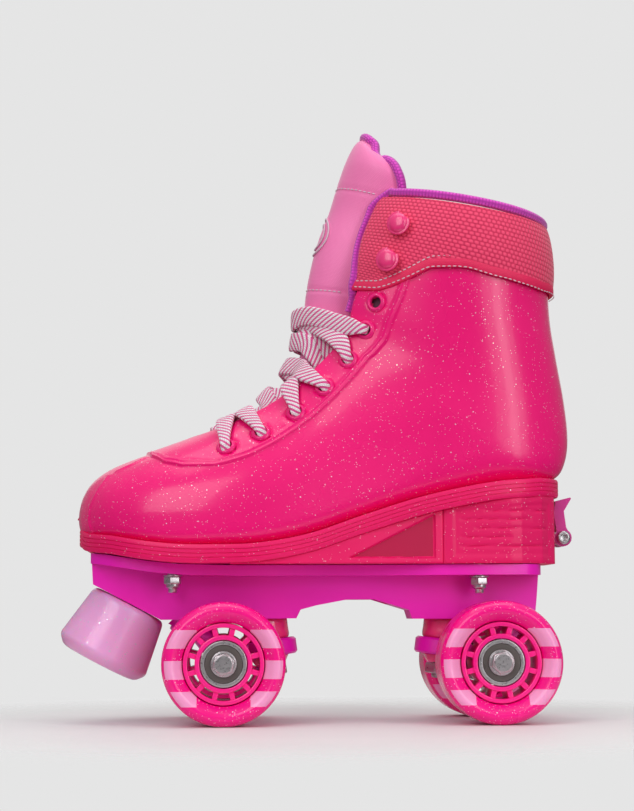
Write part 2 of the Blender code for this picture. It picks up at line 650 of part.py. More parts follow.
def box_cutter(low, high):
    return add_object("cutter", box_mesh("cutter", low, high), None)


def make_heel_block():
    """The hollow heel and the waist wedge ahead of it, one moulding."""
    x = np.array([HEEL_X[0], 46, 56, 64, 74, 82, 88, 93, 96.2, 97.6])
    half = np.minimum(np.interp(x, SOLE_EDGE[:, 0], SOLE_EDGE[:, 2]) - 1.4, HEEL_HALF_W)
    heel = add_object("heel_block", lengthwise_slab("heel_block", x, -half, half, sole_under(x) - GAP,
                                                    np.full(len(x), PLATE_TOP + GAP)), material("heel", ORCHID, 0.45))
    x = np.array([-30.0, -20, -8, 4, 16, 28, 44])
    half = np.interp(x, (-30, 0, 44), (SHANK_HALF_W + 3, SHANK_HALF_W, SHANK_HALF_W))
    waist = add_object("waist", lengthwise_slab("waist", x, -half, half, sole_under(x) - GAP,
                                                np.full(len(x), PLATE_TOP + GAP)), None)
    cut(heel, [waist], "UNION")
    inside = HEEL_WALL
    x = np.array([HEEL_X[0] + inside + 1, 60, 78, 86, 91, 93.2])
    half = np.minimum(np.interp(x, SOLE_EDGE[:, 0], SOLE_EDGE[:, 2]) - 1.4, HEEL_HALF_W) - inside
    hollow = add_object("hollow", lengthwise_slab("hollow", x, -half, half, sole_under(x) - GAP - inside,
                                                  np.full(len(x), PLATE_TOP + GAP + inside)), None)
    rod_hole = add_object("rod_hole", prism_mesh("rod_hole", circle(ROD_R + 0.4, 12), 88, 105, "X"), None)
    rod_hole.location = Vector((0, 0, CLAMP_Z)) * MM
    recess = box_cutter((96.4, -LEVER_HALF_W - 3, CLAMP_Z - 8), (110, LEVER_HALF_W + 3, 120))
    bolts = [round_cutter(BOLT_X[1], y, BOLT_R + 0.3, 70, 90) for y in (-BOLT_Y, BOLT_Y)]
    return cut(heel, [hollow, slot_cutter(92.0, 120.0), rod_hole, recess] + bolts)


def circle(radius, sides, turn=0.0):
    return [(radius * math.cos(turn + 2 * math.pi * k / sides), radius * math.sin(turn + 2 * math.pi * k / sides))
            for k in range(sides)]


def make_footbed():
    x = np.array([-124.0, -118, -108, -92, -72, -50, -28, -6, 14, 30])
    inner = np.interp(x, SOLE_EDGE[:, 0], SOLE_EDGE[:, 2]) - np.interp(x, (-124, -90, 30), (16, 13.0, 13.0))
    outer = np.interp(x, SOLE_EDGE[:, 0], SOLE_EDGE[:, 1]) + np.interp(x, (-124, -90, 30), (16, 13.0, 13.0))
    floor = seam_height(x) + SHELL_T + GAP + 2.6
    bed = add_object("footbed", lengthwise_slab("footbed", x, outer, inner, floor + FOOTBED_T, floor, 5),
                     material("lining", ORCHID, 0.9))
    pockets = [round_cutter(BOLT_X[0], y, 5.6, 70, 90.6) for y in (-BOLT_Y, BOLT_Y)]
    return cut(bed, pockets)


# ---------------------------------------------------------------- the size-adjusting heel
def make_heel_carriage():
    """Runs in the hollow heel; its neck comes up through the sole to the heel cup."""
    x0, x1 = NECK_X
    carriage = add_object("heel_carriage", box_mesh("heel_carriage", (x0 - 4, -17, 94.0), (x1 + 8, 17, 97.2)),
                          material("carriage", STEEL, 0.4), slide)
    neck = add_object("neck", box_mesh("neck", (x0, -SLOT_HALF_W + 0.6, 96), (x1, SLOT_HALF_W - 0.6, 117.3)), None, slide)
    return cut(carriage, [neck], "UNION")


def make_heel_cup():
    """The padded cup that follows the heel of the boot when it is right back."""
    rows = np.array([12.2, 12.8, 13.4, 14.0, 14.6, 15.2, 16.0, 16.8])
    angle = np.linspace(0.66, 1.34, 13)[None, :] * math.pi * np.ones((8, 1))
    t = rows[:, None]
    wall = slab_mesh("heel_cup", boot_point(t, angle, -SHELL_T - 1.3), boot_point(t, angle, -SHELL_T - 5.3))
    return add_object("heel_cup", wall, material("lining", ORCHID, 0.9), slide)


def make_clamp_rod():
    """A round rod along X with a wedge head under the carriage and an eye for the lever's pin."""
    rod = add_object("clamp_rod", prism_mesh("clamp_rod", circle(ROD_R, 12), -24, -3, "X"), material("bright_steel", STEEL, 0.25),
                     clamp)
    eye = add_object("eye", prism_mesh("eye", circle(3.9, 14), -2.6, 2.6, "Y"), None, clamp)
    head = add_object("head", prism_mesh("head", [(-12, -4), (12, -4), (12, 4), (-12, 4)], -27, -22, "X"), None, clamp)
    cut(rod, [eye, head], "UNION")
    bore = add_object("bore", prism_mesh("bore", circle(LEVER_PIN_R + 0.2, 12), -5, 5, "Y"), None, clamp)
    return cut(rod, [bore])


def make_adjust_lever():
    """A cam lever: a barrel on the pin and a thumb blade that stands up behind the heel."""
    barrel = add_object("adjust_lever", prism_mesh("adjust_lever", circle(LEVER_BARREL_R, 18), -LEVER_HALF_W, LEVER_HALF_W, "Y"),
                        material("lever_plastic", MAGENTA, 0.35), lever)
    side = [(-3.0, 2.6), (-3.7, 6.5), (-4.5, 12.5), (-3.4, 18.0), (3.9, 19.8), (4.3, 19.2), (0.6, 13.0), (1.6, 5.2), (3.4, 1.6)]
    blade = add_object("blade", prism_mesh("blade", side, -LEVER_HALF_W, LEVER_HALF_W, "Y"), None, lever)
    cut(barrel, [blade], "UNION")
    notch = add_object("notch", box_mesh("notch", (-8, -3.2, -8), (8, 3.2, 5.2)), None, lever)
    bore = add_object("bore", prism_mesh("bore", circle(LEVER_PIN_R + 0.25, 12), -12, 12, "Y"), None, lever)
    return cut(barrel, [notch, bore])


def make_lever_pin():
    r = LEVER_PIN_R
    half = LEVER_HALF_W + GAP
    pin = add_object("lever_pin", prism_mesh("lever_pin", circle(r, 12), -half - 1, half + 1, "Y"),
                     material("bright_steel", STEEL, 0.25), clamp)
    heads = [add_object("head", prism_mesh("head", hexagon(5.5), a, b, "Y"), None, clamp)
             for a, b in ((-half - 2.2, -half), (half, half + 2.2))]
    return cut(pin, heads, "UNION")


# ---------------------------------------------------------------- plate and toe stop
def along_stop(distance):
    """A point of the toe stop's axis, so far below its upper face."""
    return (STOP_TOP[0] - math.sin(STOP_TILT) * distance, 0.0, STOP_TOP[1] - math.cos(STOP_TILT) * distance)


def stop_empty(name):
    made = empty(name, (STOP_TOP[0], 0, STOP_TOP[1]), skate)
    made.rotation_euler = (0, STOP_TILT, 0)
    return made


def make_base_plate():
    web = [(-128.6, 79.0), (-127.9, 66.9), (-127.3, 66.5), (-95.2, 49.6), (-29.7, TRUCK_SEAT_Z), (-27.6, 54.2), (-20.0, 56.2),
           (-4.9, ARCH_Z), (8.4, ARCH_Z), (18.0, 56.0), (25.2, 53.8), (26.5, TRUCK_SEAT_Z - 0.5), (79.0, 49.4), (86.6, 50.4),
           (87.6, 60.0), (88.4, 70.0), (88.6, 73.5), (-62.0, 73.5), (-104.0, 75.0)]
    plate = add_object("base_plate", prism_mesh("base_plate", web, -WEB_HALF_W, WEB_HALF_W, "Y"),
                       material("plate_nylon", MAGENTA, 0.5))
    x = np.array([PLATE_FRONT_X, -127.0, -121, -112, -100, -86, -72, -59, -40, 0, 40, 80, 86, 88.8])
    half = np.interp(x, (-129, -127, -121, -112, -100, 80, 86, 88.8), (15, 18, 24, 28, 31, 31, 27, 20))
    half = half - 6.5 * np.clip(1 - np.abs(x) / 50, 0, 1)
    top = plate_top(x)
    flange = add_object("flange", lengthwise_slab("flange", x, -half, half, top, top - FLANGE_T), None)
    posts = []
    for truck in (front, rear):
        cup = add_object("boss", lathe_mesh("boss", [(0, -3.4), (PIVOT_CUP_R + 2.2, -3.4), (PIVOT_CUP_R + 2.2, 8.0), (0, 8.0)], 16),
                         None, truck["pivot"])
        posts.append(cup)
    cut(plate, [flange] + posts, "UNION")
    tools = [round_cutter(bx, y, BOLT_R + 0.3, 60, 90) for bx in BOLT_X for y in (-BOLT_Y, BOLT_Y)]
    tools.append(box_cutter((-20.0, -10.5, 40.0), (16.0, 10.5, 70.5)))
    for truck in (front, rear):
        ring = truck["ring"]
        seat = RING_T / 2 + truck["upper"] + 2 * GAP
        profile = [(0, -30), (CUSHION_R + 2.2, -30), (CUSHION_R + 2.2, seat), (KINGPIN_R + GAP, seat),
                   (KINGPIN_R + GAP, seat + 14), (0, seat + 14)]
        tools.append(add_object("seat", lathe_mesh("seat", profile, 20), None, ring))
        profile = [(0, -14), (PIVOT_CUP_R + GAP, -14), (PIVOT_CUP_R + GAP, PIVOT_CUP_H - 1), (0, PIVOT_CUP_H - 1)]
        tools.append(add_object("socket", lathe_mesh("socket", profile, 16), None, truck["pivot"]))
    stem = add_object("stem_hole", prism_mesh("stem_hole", circle(STOP_STEM_R + GAP, 16), -6, STOP_STEM_IN_PLATE + GAP), None,
                      stop_empty("stem_axis"))
    foot = [(-STOP_TOP_R - 4, -20), (STOP_TOP_R + 4, -20), (STOP_TOP_R + 4, GAP), (-STOP_TOP_R - 4, GAP)]
    face = add_object("stop_face", prism_mesh("stop_face", foot, -STOP_TOP_R - 4, STOP_TOP_R + 4, "Y"), None, stem.parent)
    return cut(plate, tools + [stem, face])


def make_toe_stop():
    axis = stop_empty("toe_stop_axis")
    r0, r1, h, e = STOP_TOP_R, STOP_FOOT_R, STOP_H, STOP_EDGE
    hole, deep = STOP_STEM_R + GAP, STOP_STEM_IN_STOP + GAP
    profile = [(0, -h), (r1 - 2 * e, -h), (r1 - 0.7 * e, -h + 0.25 * e), (r1 - 0.15 * e, -h + 0.8 * e), (r1 - 0.1, -h + 1.6 * e),
               (r0, -1.2), (r0 - 1.2, 0), (hole, 0), (hole, -deep), (0, -deep)]
    add_object("toe_stop", lathe_mesh("toe_stop", profile, ROUND), material("stop_rubber", BLUSH, 0.25), axis)
    profile = [(0, -STOP_STEM_IN_STOP), (STOP_STEM_R, -STOP_STEM_IN_STOP), (STOP_STEM_R, STOP_STEM_IN_PLATE - 1),
               (STOP_STEM_R - 1, STOP_STEM_IN_PLATE), (0, STOP_STEM_IN_PLATE)]
    add_object("toe_stop_bolt", lathe_mesh("toe_stop_bolt", profile, 14), material("bolt_steel", STEEL, 0.3), axis)


def make_mount_bolt(name, x, y):
    """A pan-head bolt with its washer and nut run up under the flange."""
    top = float(seam_height(x)) + SHELL_T + 2.1 if x < 0 else PLATE_TOP + GAP + HEEL_WALL + GAP
    low = float(plate_top(x)) - FLANGE_T - GAP
    r, n = BOLT_R, BOLT_NUT_FLATS / 2
    profile = [(0, low - 8.4), (r, low - 8.4), (r, low - 6.6), (n * 1.1, low - 6.6), (n * 1.1, low - 1.4),
               (n * 1.35, low - 1.2), (n * 1.35, low), (r, low), (r, top), (4.2, top), (4.2, top + 1.4), (0, top + 2.2)]
    return add_object(name, lathe_mesh(name, profile, 12), material("bolt_steel", STEEL, 0.3), None, (x, y, 0))


# ---------------------------------------------------------------- trucks
def truck_frame(name, axle_x, inward):
    """Empties of one truck: its steering axis, its kingpin (local Z up the kingpin) and its pivot pin."""
    lean = math.radians(8.0) * inward
    ring_at = Vector((axle_x + inward * KINGPIN_INSET, 0, RING_Z))
    pivot_at = Vector((axle_x - inward * PIVOT_OUT, 0, PIVOT_Z))
    axis = empty(name, pivot_at, skate)
    ring = empty(name + "_kingpin", ring_at, skate)
    ring.rotation_euler = (0, -lean, 0)
    pivot = empty(name + "_pivot", pivot_at, skate)
    direction = pivot_at - Vector((axle_x, 0, AXLE_Z + 2))
    pivot.rotation_euler = (0, math.atan2(direction.x, direction.z), 0)
    return {"axis": axis, "ring": ring, "pivot": pivot, "axle_x": axle_x, "inward": inward, "ring_at": ring_at,
            "pivot_at": pivot_at, "lean": lean, "upper": 11.0, "reach": direction.length}


def bake_into(obj, parent):
    """Hands a mesh over to another empty without moving it; its new origin is that empty's."""
    bpy.context.view_layer.update()
    matrix = parent.matrix_world.inverted() @ obj.matrix_world
    obj.data.transform(matrix)
    obj.parent = parent
    obj.matrix_parent_inverse = Matrix.Identity(4)
    obj.rotation_mode = "XYZ"
    obj.rotation_euler = (0, 0, 0)
    obj.location = (0, 0, 0)
    return obj


def make_hanger(name, truck):
    """The axle housing, the ring round the kingpin, the arm between them and the pivot pin."""
    ring = add_object(name, lathe_mesh(name, [(0, -RING_T / 2), (RING_R - 1, -RING_T / 2), (RING_R, -RING_T / 2 + 1),
                                              (RING_R, RING_T / 2 - 1), (RING_R - 1, RING_T / 2), (0, RING_T / 2)],
                                       ROUND), material("hanger_metal", ORCHID, 0.35, 0.4), truck["ring"])
    tube = HANGER_TUBE_R
    end = TRACK / 2 - HUB_W / 2 - GAP
    profile = [(0, -end), (6.2, -end), (6.2, -HANGER_HALF_W - 1.5), (tube, -HANGER_HALF_W), (tube + 1.4, 0), (tube, HANGER_HALF_W),
               (6.2, HANGER_HALF_W + 1.5), (6.2, end), (0, end)]
    housing = add_object("housing", lathe_mesh("housing", profile, 16, "Y"), None, skate, (truck["axle_x"], 0, AXLE_Z))
    inward = truck["inward"]
    x0, x1 = truck["axle_x"] - inward * 2, truck["ring_at"].x - inward * (RING_BORE_R + 1.6)
    z0, z1 = AXLE_Z + 0.5, truck["ring_at"].z + truck["inward"] * 0 - 1.0
    arm = np.array([(x0, s * 15.0, z) for s in (-1, 1) for z in (z0 - 4.5, z0 + 5)]
                   + [(x1, s * 9.5, z) for s in (-1, 1) for z in (z1 - 2.4, z1 + 3.2)])
    faces = [(0, 1, 3, 2), (4, 6, 7, 5), (0, 2, 6, 4), (1, 5, 7, 3), (0, 4, 5, 1), (2, 3, 7, 6)]
    arm = add_object("arm", mesh_of("arm", arm, faces, smooth=False), None, skate)
    reach = truck["reach"]
    profile = [(0, -reach), (6.5, -reach), (5.2, -8), (PIVOT_R, -5), (PIVOT_R, 0), (PIVOT_R * 0.7, PIVOT_R * 0.7), (0, PIVOT_R)]
    pin = add_object("pin", lathe_mesh("pin", profile, 14), None, truck["pivot"])
    cut(ring, [housing, arm, pin], "UNION")
    bore = add_object("bore", prism_mesh("bore", circle(AXLE_R + GAP, 16), -60, 60, "Y"), None, skate,
                      (truck["axle_x"], 0, AXLE_Z))
    hollow = add_object("hollow", lathe_mesh("hollow", [(0, -RING_T), (RING_BORE_R, -RING_T), (RING_BORE_R, RING_T), (0, RING_T)],
                                             ROUND), None, truck["ring"])
    room = [(0, RING_T / 2 - RECESS), (CUSHION_R + 1.2, RING_T / 2 - RECESS), (CUSHION_R + 1.2, 18), (0, 18)]
    above = add_object("above", lathe_mesh("above", room, ROUND), None, truck["ring"])
    room = [(0, -18), (CUSHION_R - 0.4, -18), (CUSHION_R - 0.4, -RING_T / 2 + RECESS), (0, -RING_T / 2 + RECESS)]
    below = add_object("below", lathe_mesh("below", room, ROUND), None, truck["ring"])
    cut(ring, [bore, hollow, above, below])
    return bake_into(ring, truck["axis"])


def make_truck(name, truck):
    make_hanger(name + "_hanger", truck)
    half = TRACK / 2 + HUB_W / 2 + NUT_W + 0.5
    axle = add_object(name + "_axle", prism_mesh(name + "_axle", circle(AXLE_R, 16), -half, half, "Y"),
                      material("bright_steel", STEEL, 0.25), skate, (truck["axle_x"], 0, AXLE_Z))
    bake_into(axle, truck["axis"])
    steel = material("bright_steel", STEEL, 0.25)
    rubber = material("cushion", CORAL, 0.35)
    low = -RING_T / 2 + RECESS - GAP
    top = RING_T / 2 - RECESS + GAP
    base = low - LOWER_CUSHION_H - GAP
    r = KINGPIN_R
    add_object(name + "_kingpin_bolt", lathe_mesh(name + "_kingpin_bolt", [
        (0, base - KINGPIN_NUT_H - 2), (r - 0.6, base - KINGPIN_NUT_H - 2), (r, base - KINGPIN_NUT_H - 1.2),
        (r, top + truck["upper"] + 12), (0, top + truck["upper"] + 12)], 14), steel, truck["ring"])
    inner = r + GAP
    h = truck["upper"]
    add_object(name + "_cushion_upper", lathe_mesh(name + "_cushion_upper", [
        (inner, top), (CUSHION_R - 1, top), (CUSHION_R, top + 1), (CUSHION_R - 0.9, top + h * 0.5), (CUSHION_R, top + h - 1),
        (CUSHION_R - 1, top + h), (inner, top + h)], 20),
        rubber, truck["ring"])
    low_r = CUSHION_R - 1.6
    add_object(name + "_cushion_lower", lathe_mesh(name + "_cushion_lower", [
        (inner, low - LOWER_CUSHION_H), (low_r - 2.2, low - LOWER_CUSHION_H), (low_r, low), (inner, low)], ROUND),
        rubber, truck["ring"])
    nut = add_object(name + "_kingpin_nut", prism_mesh(name + "_kingpin_nut", hexagon(KINGPIN_NUT_FLATS), base - KINGPIN_NUT_H, base),
                     steel, truck["ring"])
    cut(nut, [add_object("bore", prism_mesh("bore", circle(inner, 14), -40, 40), None, truck["ring"])])
    p = PIVOT_R + 0.5
    cup_r, deep = PIVOT_CUP_R, PIVOT_CUP_H - 1 - GAP
    add_object(name + "_pivot_cup", lathe_mesh(name + "_pivot_cup", [
        (p, -3.4), (cup_r, -3.4), (cup_r, deep), (0, deep), (0, p), (p * 0.7, p * 0.7), (p, 0)], 16),
        material("pivot_rubber", BLUSH, 0.6), truck["pivot"])


# ---------------------------------------------------------------- wheels
def make_wheel(name, truck, side):
    """One wheel: a tyre on a windowed core, two bearings and the nut that holds it on."""
    axis = empty(name, Vector((truck["axle_x"], side * TRACK / 2, AXLE_Z)) - truck["pivot_at"], truck["axis"])
    scale = 1 / math.cos(math.pi / FINE_ROUND)
    flat = math.pi / FINE_ROUND
    half, hub = WHEEL_W / 2, HUB_W / 2
    rim = CORE_R + GAP
    profile = [(rim, -hub), (rim + 4.5, -half), (WHEEL_R - 2.6, -half), (WHEEL_R, -half + 2.8), (WHEEL_R, half - 2.8),
               (WHEEL_R - 2.6, half), (rim + 4.5, half), (rim, hub)]
    profile = [(r * scale, z) for r, z in profile]
    add_object(name + "_tyre", lathe_mesh(name + "_tyre", profile, FINE_ROUND, "Y", flat), material("urethane", PINK, 0.3), axis)
    seat, web = BEARING_R + 0.25, BEARING_R - 2.2
    z = hub - BEARING_W - GAP
    core = add_object(name + "_core", lathe_mesh(name + "_core", [
        (seat, -hub), (CORE_R, -hub), (CORE_R, hub), (seat, hub), (seat, z), (web, z), (web, -z), (seat, -z)], ROUND, "Y", flat),
        material("core_plastic", MAGENTA, 0.35), axis)
    windows = []
    for k in range(12):
        a = 2 * math.pi * k / 12
        outline = []
        for radius, spread in ((13.2, 0.115), (17.3, 0.15)):
            outline += [(radius * math.cos(a + s * spread), radius * math.sin(a + s * spread))
                        for s in ((-1, 1) if radius < 15 else (1, -1))]
        windows.append(add_object("window", prism_mesh("window", outline, -hub - 1, hub + 1, "Y"), None, axis))
    cut(core, windows)
    for label, centre in (("outer", side), ("inner", -side)):
        y = centre * (hub - BEARING_W / 2 - 0.1)
        r, w = BEARING_R - 0.1, BEARING_W / 2 - 0.1
        profile = [(AXLE_R + 0.2, -w), (r, -w), (r, w), (AXLE_R + 0.2, w)]
        add_object(name + "_bearing_" + label, lathe_mesh(name + "_bearing_" + label, profile, 20, "Y"),
                   material("bright_steel", STEEL, 0.25), axis, (0, y, 0))
    face = TRACK / 2 + hub + GAP
    low, high = sorted((side * face, side * (face + NUT_W)))
    nut = add_object(name + "_axle_nut", prism_mesh(name + "_axle_nut", hexagon(NUT_FLATS, 0.3), low, high, "Y"),
                     material("bright_steel", STEEL, 0.25), skate, (truck["axle_x"], 0, AXLE_Z))
    cut(nut, [add_object("bore", prism_mesh("bore", circle(AXLE_R + 0.3, 14), -80, 80, "Y"), None, skate,
                         (truck["axle_x"], 0, AXLE_Z))])
    bake_into(nut, truck["axis"])


# ---------------------------------------------------------------- the skate
for old in list(bpy.data.objects):
    bpy.data.objects.remove(old, do_unlink=True)
skate = empty("skate", (ORIGIN_X, 0, 0))
slide = empty("heel_slide", (0, 0, 0), skate)
clamp = empty("clamp", (LEVER_PIN_X, 0, CLAMP_Z), skate)
lever = empty("lever", (0, 0, 0), clamp)
front = truck_frame("front_truck", FRONT_X, 1)
rear = truck_frame("rear_truck", REAR_X, -1)

make_boot_shell()
make_outsole()
make_heel_block()
make_liner()
make_collar()
make_collar_piping()
make_tongue()
make_lace()
make_footbed()
for number, (t, along) in enumerate(HOOKS, 1):
    make_hook(f"hook_outer_{number}", t, along, 1)
    make_hook(f"hook_inner_{number}", t, along, -1)
make_heel_carriage()
make_heel_cup()
make_clamp_rod()
make_adjust_lever()
make_lever_pin()
make_base_plate()
make_toe_stop()
for label, x, y in (("front_outer", BOLT_X[0], -BOLT_Y), ("front_inner", BOLT_X[0], BOLT_Y),
                    ("rear_outer", BOLT_X[1], -BOLT_Y), ("rear_inner", BOLT_X[1], BOLT_Y)):
    make_mount_bolt("mount_bolt_" + label, x, y)
for label, truck in (("front", front), ("rear", rear)):
    make_truck(label, truck)
    make_wheel(label + "_outer_wheel", truck, -1)
    make_wheel(label + "_inner_wheel", truck, 1)
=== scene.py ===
"""Pink quad roller skate: the finished surfaces, materials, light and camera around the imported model.

Shapes are worked out in millimetres, X from toe (-) to heel (+) with 0 midway between the axles, -Y the
wearer's left, Z up from the ground. put_mesh carries them into the frame's metres.
"""

import math

import bmesh
import bpy
import numpy as np
from mathutils import Matrix, Vector


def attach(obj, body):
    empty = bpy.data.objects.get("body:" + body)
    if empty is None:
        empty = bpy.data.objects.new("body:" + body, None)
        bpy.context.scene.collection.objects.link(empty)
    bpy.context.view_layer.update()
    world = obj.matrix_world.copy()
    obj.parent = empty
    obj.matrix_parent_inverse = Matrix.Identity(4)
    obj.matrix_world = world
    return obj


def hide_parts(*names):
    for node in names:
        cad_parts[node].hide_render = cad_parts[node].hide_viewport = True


bl_info = {
    "name": "Quad Roller Skate",
    "version": (1, 0, 0),
    "blender": (4, 5, 0),
    "location": "View3D > Sidebar > Skate",
    "description": "Builds the finished skate around its packed frame",
    "category": "Object",
}

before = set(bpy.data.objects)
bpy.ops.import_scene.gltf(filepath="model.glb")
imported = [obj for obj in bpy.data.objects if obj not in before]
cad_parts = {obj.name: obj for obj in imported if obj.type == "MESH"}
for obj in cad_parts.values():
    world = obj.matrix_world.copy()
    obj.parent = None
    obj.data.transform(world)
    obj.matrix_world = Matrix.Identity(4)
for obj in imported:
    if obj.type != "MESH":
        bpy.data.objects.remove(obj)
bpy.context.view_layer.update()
BODY = "boot_and_plate"

# ---------------------------------------------------------------- sizes shared with the frame
MM = 0.001
ORIGIN_X = 19.9
AXLES = (-65.0, 65.0)
AXLE_Z = 29.0
TRACK = 78.0
WHEEL_R, WHEEL_HALF_W, HUB_HALF_W = 29.0, 15.5, 11.5
CORE_R = 19.0
SHELL_T, LINER_T, COLLAR_T, GAP = 3.0, 4.0, 3.6, 0.35
SOLE_T = 5.6
PLATE_TOP = 75.4
KINGPIN_INSET, KINGPIN_LEAN, RING_Z = 22.0, math.radians(8.0), 35.5
STOP_TILT = math.radians(27.8)
STOP_TOP = (-110.9, 57.4)
CLAMP_Z, LEVER_PIN_X = 88.8, 102.0
FRONT_BOLT_X, REAR_BOLT_X, BOLT_Y = -89.3, 58.3, 24.0
BOLTS = (("front_outer", FRONT_BOLT_X, -BOLT_Y), ("front_inner", FRONT_BOLT_X, BOLT_Y),
         ("rear_outer", REAR_BOLT_X, -BOLT_Y), ("rear_inner", REAR_BOLT_X, BOLT_Y))
# station and share of the section's length, for each hook and each eyelet on a side
HOOKS = ((19.0, 0.21), (20.15, 0.22))
EYELETS = ((7.7, 0.22), (8.68, 0.24), (9.7, 0.255), (10.7, 0.243), (12.0, 0.203), (15.2, 0.168), (17.2, 0.18))
LACED = 6                   # how many pairs of eyelets the lace uses
# each row: front x and z, back x and z, half width, lean, widest share, front and back roundness
STATIONS = np.array([
    (-136.3, 99.0, -136.3, 99.0, 0.0, 7.0, 0.55, 2.0, 2.0),
    (-135.6, 104.5, -135.4, 93.6, 9.5, 7.0, 0.60, 2.0, 2.2),
    (-133.6, 110.8, -133.0, 89.9, 17.5, 6.8, 0.65, 2.1, 2.8),
    (-129.2, 117.2, -128.0, 88.5, 26.0, 6.0, 0.68, 2.1, 3.4),
    (-121.0, 123.2, -119.0, 87.4, 34.0, 5.0, 0.70, 2.1, 4.0),
    (-108.5, 128.4, -105.5, 85.0, 40.2, 3.5, 0.72, 2.1, 4.5),
    (-93.0, 133.6, -88.0, 83.0, 44.0, 2.0, 0.73, 2.1, 5.0),
    (-77.0, 139.5, -69.0, 82.6, 45.5, 1.0, 0.73, 2.05, 5.0),
    (-61.5, 147.5, -48.0, 83.4, 44.5, 0.0, 0.72, 1.95, 5.0),
    (-47.0, 158.0, -24.0, 87.8, 41.5, 0.0, 0.70, 1.85, 5.0),
    (-34.5, 170.5, 2.0, 96.6, 38.0, 0.0, 0.68, 1.8, 5.0),
    (-26.0, 182.5, 32.0, 105.9, 35.5, 0.0, 0.64, 1.8, 5.0),
    (-21.5, 190.5, 64.0, 112.4, 34.5, 0.0, 0.60, 1.8, 4.5),
    (-19.0, 195.0, 88.0, 114.8, 34.2, 0.0, 0.57, 1.85, 3.6),
    (-17.4, 198.0, 99.5, 118.4, 34.0, 0.0, 0.55, 1.9, 2.9),
    (-16.0, 201.0, 104.4, 126.5, 34.0, 0.0, 0.54, 1.9, 2.5),
    (-14.2, 205.0, 106.0, 139.0, 34.2, 0.0, 0.53, 1.95, 2.3),
    (-11.8, 210.5, 104.4, 157.0, 34.8, 0.0, 0.52, 2.0, 2.2),
    (-8.2, 218.5, 101.2, 176.0, 35.6, 0.0, 0.51, 2.0, 2.2),
    (-4.2, 229.0, 98.2, 196.0, 36.5, 0.0, 0.50, 2.0, 2.2),
    (1.0, 242.0, 97.0, 219.0, 37.3, 0.0, 0.50, 2.0, 2.2),
    (7.5, 256.5, 95.5, 241.5, 38.0, 0.0, 0.50, 2.0, 2.2),
])
TOP = len(STATIONS) - 1.0
THROAT_START = 6.7          # station where the throat opens
# station, half width of the throat
THROAT = np.array([(6.7, 0.0), (7.0, 8.0), (7.5, 12.5), (8.0, 15.5), (9.0, 18.0), (10.0, 19.0),
                   (12.0, 18.6), (16.0, 19.0), (18.0, 20.5), (21.0, 22.0)])
# share of the half turn from the throat to the back, and the station of the cuff's lower edge
COLLAR_EDGE = np.array([(0.0, 17.65), (0.11, 17.94), (0.213, 18.6), (0.31, 19.22), (0.436, 19.5),
                        (0.58, 19.48),
                        (0.778, 19.25), (1.0, 19.3)])
# x, and how far the sole reaches on the outer (-Y) and the inner side
SOLE_EDGE = np.array([
    (-135.3, -1.0, 14.5), (-133.6, -9.0, 22.5), (-129.5, -18.5, 31.0), (-121.0, -28.6, 39.0),
    (-107.0, -37.8, 44.4),
    (-89.0, -43.2, 47.2), (-69.0, -46.0, 48.0), (-48.0, -45.6, 45.6), (-24.0, -42.4, 42.4),
    (2.0, -39.0, 39.0),
    (32.0, -36.6, 36.6), (60.0, -35.4, 35.4), (78.0, -32.6, 32.6), (89.0, -26.6, 26.6), (96.0, -18.4, 18.4),
    (99.6, -9.6, 9.6), (100.5, -4.0, 4.0)])
# crest x and z, half width and depth
TONGUE = np.array([
    (-75.0, 133.0, 4.0, 3.0), (-62.0, 140.2, 8.0, 8.0), (-50.0, 149.0, 11.0, 15.0),
    (-38.0, 161.0, 12.8, 21.0),
    (-29.0, 174.0, 12.8, 24.0), (-25.5, 187.0, 11.6, 25.0), (-24.8, 200.0, 11.6, 26.0),
    (-23.6, 212.0, 14.0, 28.0),
    (-20.8, 226.0, 16.0, 29.0), (-17.0, 239.0, 16.6, 29.0), (-12.0, 252.0, 17.2, 29.0),
    (-8.0, 265.0, 21.0, 32.0),
    (-3.6, 277.5, 23.0, 27.0), (1.0, 286.5, 18.5, 18.5), (6.0, 290.5, 11.0, 9.0)])


# ---------------------------------------------------------------- the boot's surface, as in the frame
def between(p0, p1, p2, p3, f):
    """The Catmull-Rom cubic from p1 to p2 at the share f of the way."""
    return 0.5 * (2 * p1 + (p2 - p0) * f + (2 * p0 - 5 * p1 + 4 * p2 - p3) * f**2
                  + (3 * p1 - p0 - 3 * p2 + p3) * f**3)


def curve_through(points, count, closed=False):
    """Points evenly shared out along a Catmull-Rom curve through the given ones."""
    points = np.asarray(points, float)
    n = len(points)
    spans = n if closed else n - 1
    at = np.linspace(0, spans, count, endpoint=not closed)
    i = np.minimum(at.astype(int), spans - 1)
    f = (at - i)[:, None]
    pick = (lambda k: points[k % n]) if closed else (lambda k: points[np.clip(k, 0, n - 1)])
    p0, p1, p2, p3 = pick(i - 1), pick(i), pick(i + 1), pick(i + 2)
    if not closed:
        p0 = np.where((i == 0)[:, None], 2 * p1 - p2, p0)
        p3 = np.where((i == n - 2)[:, None], 2 * p2 - p1, p3)
    return between(p0, p1, p2, p3, f)


def curve_at(table, at):
    """A Catmull-Rom reading of a table's rows at fractional row numbers."""
    n = len(table)
    at = np.clip(np.asarray(at, float), 0, n - 1)
    i = np.minimum(at.astype(int), n - 2)
    f = (at - i)[..., None]
    p1, p2 = table[i], table[i + 1]
    p0 = np.where((i == 0)[..., None], 2 * p1 - p2, table[np.maximum(i - 1, 0)])
    p3 = np.where((i == n - 2)[..., None], 2 * p2 - p1, table[np.minimum(i + 2, n - 1)])
    return between(p0, p1, p2, p3, f)


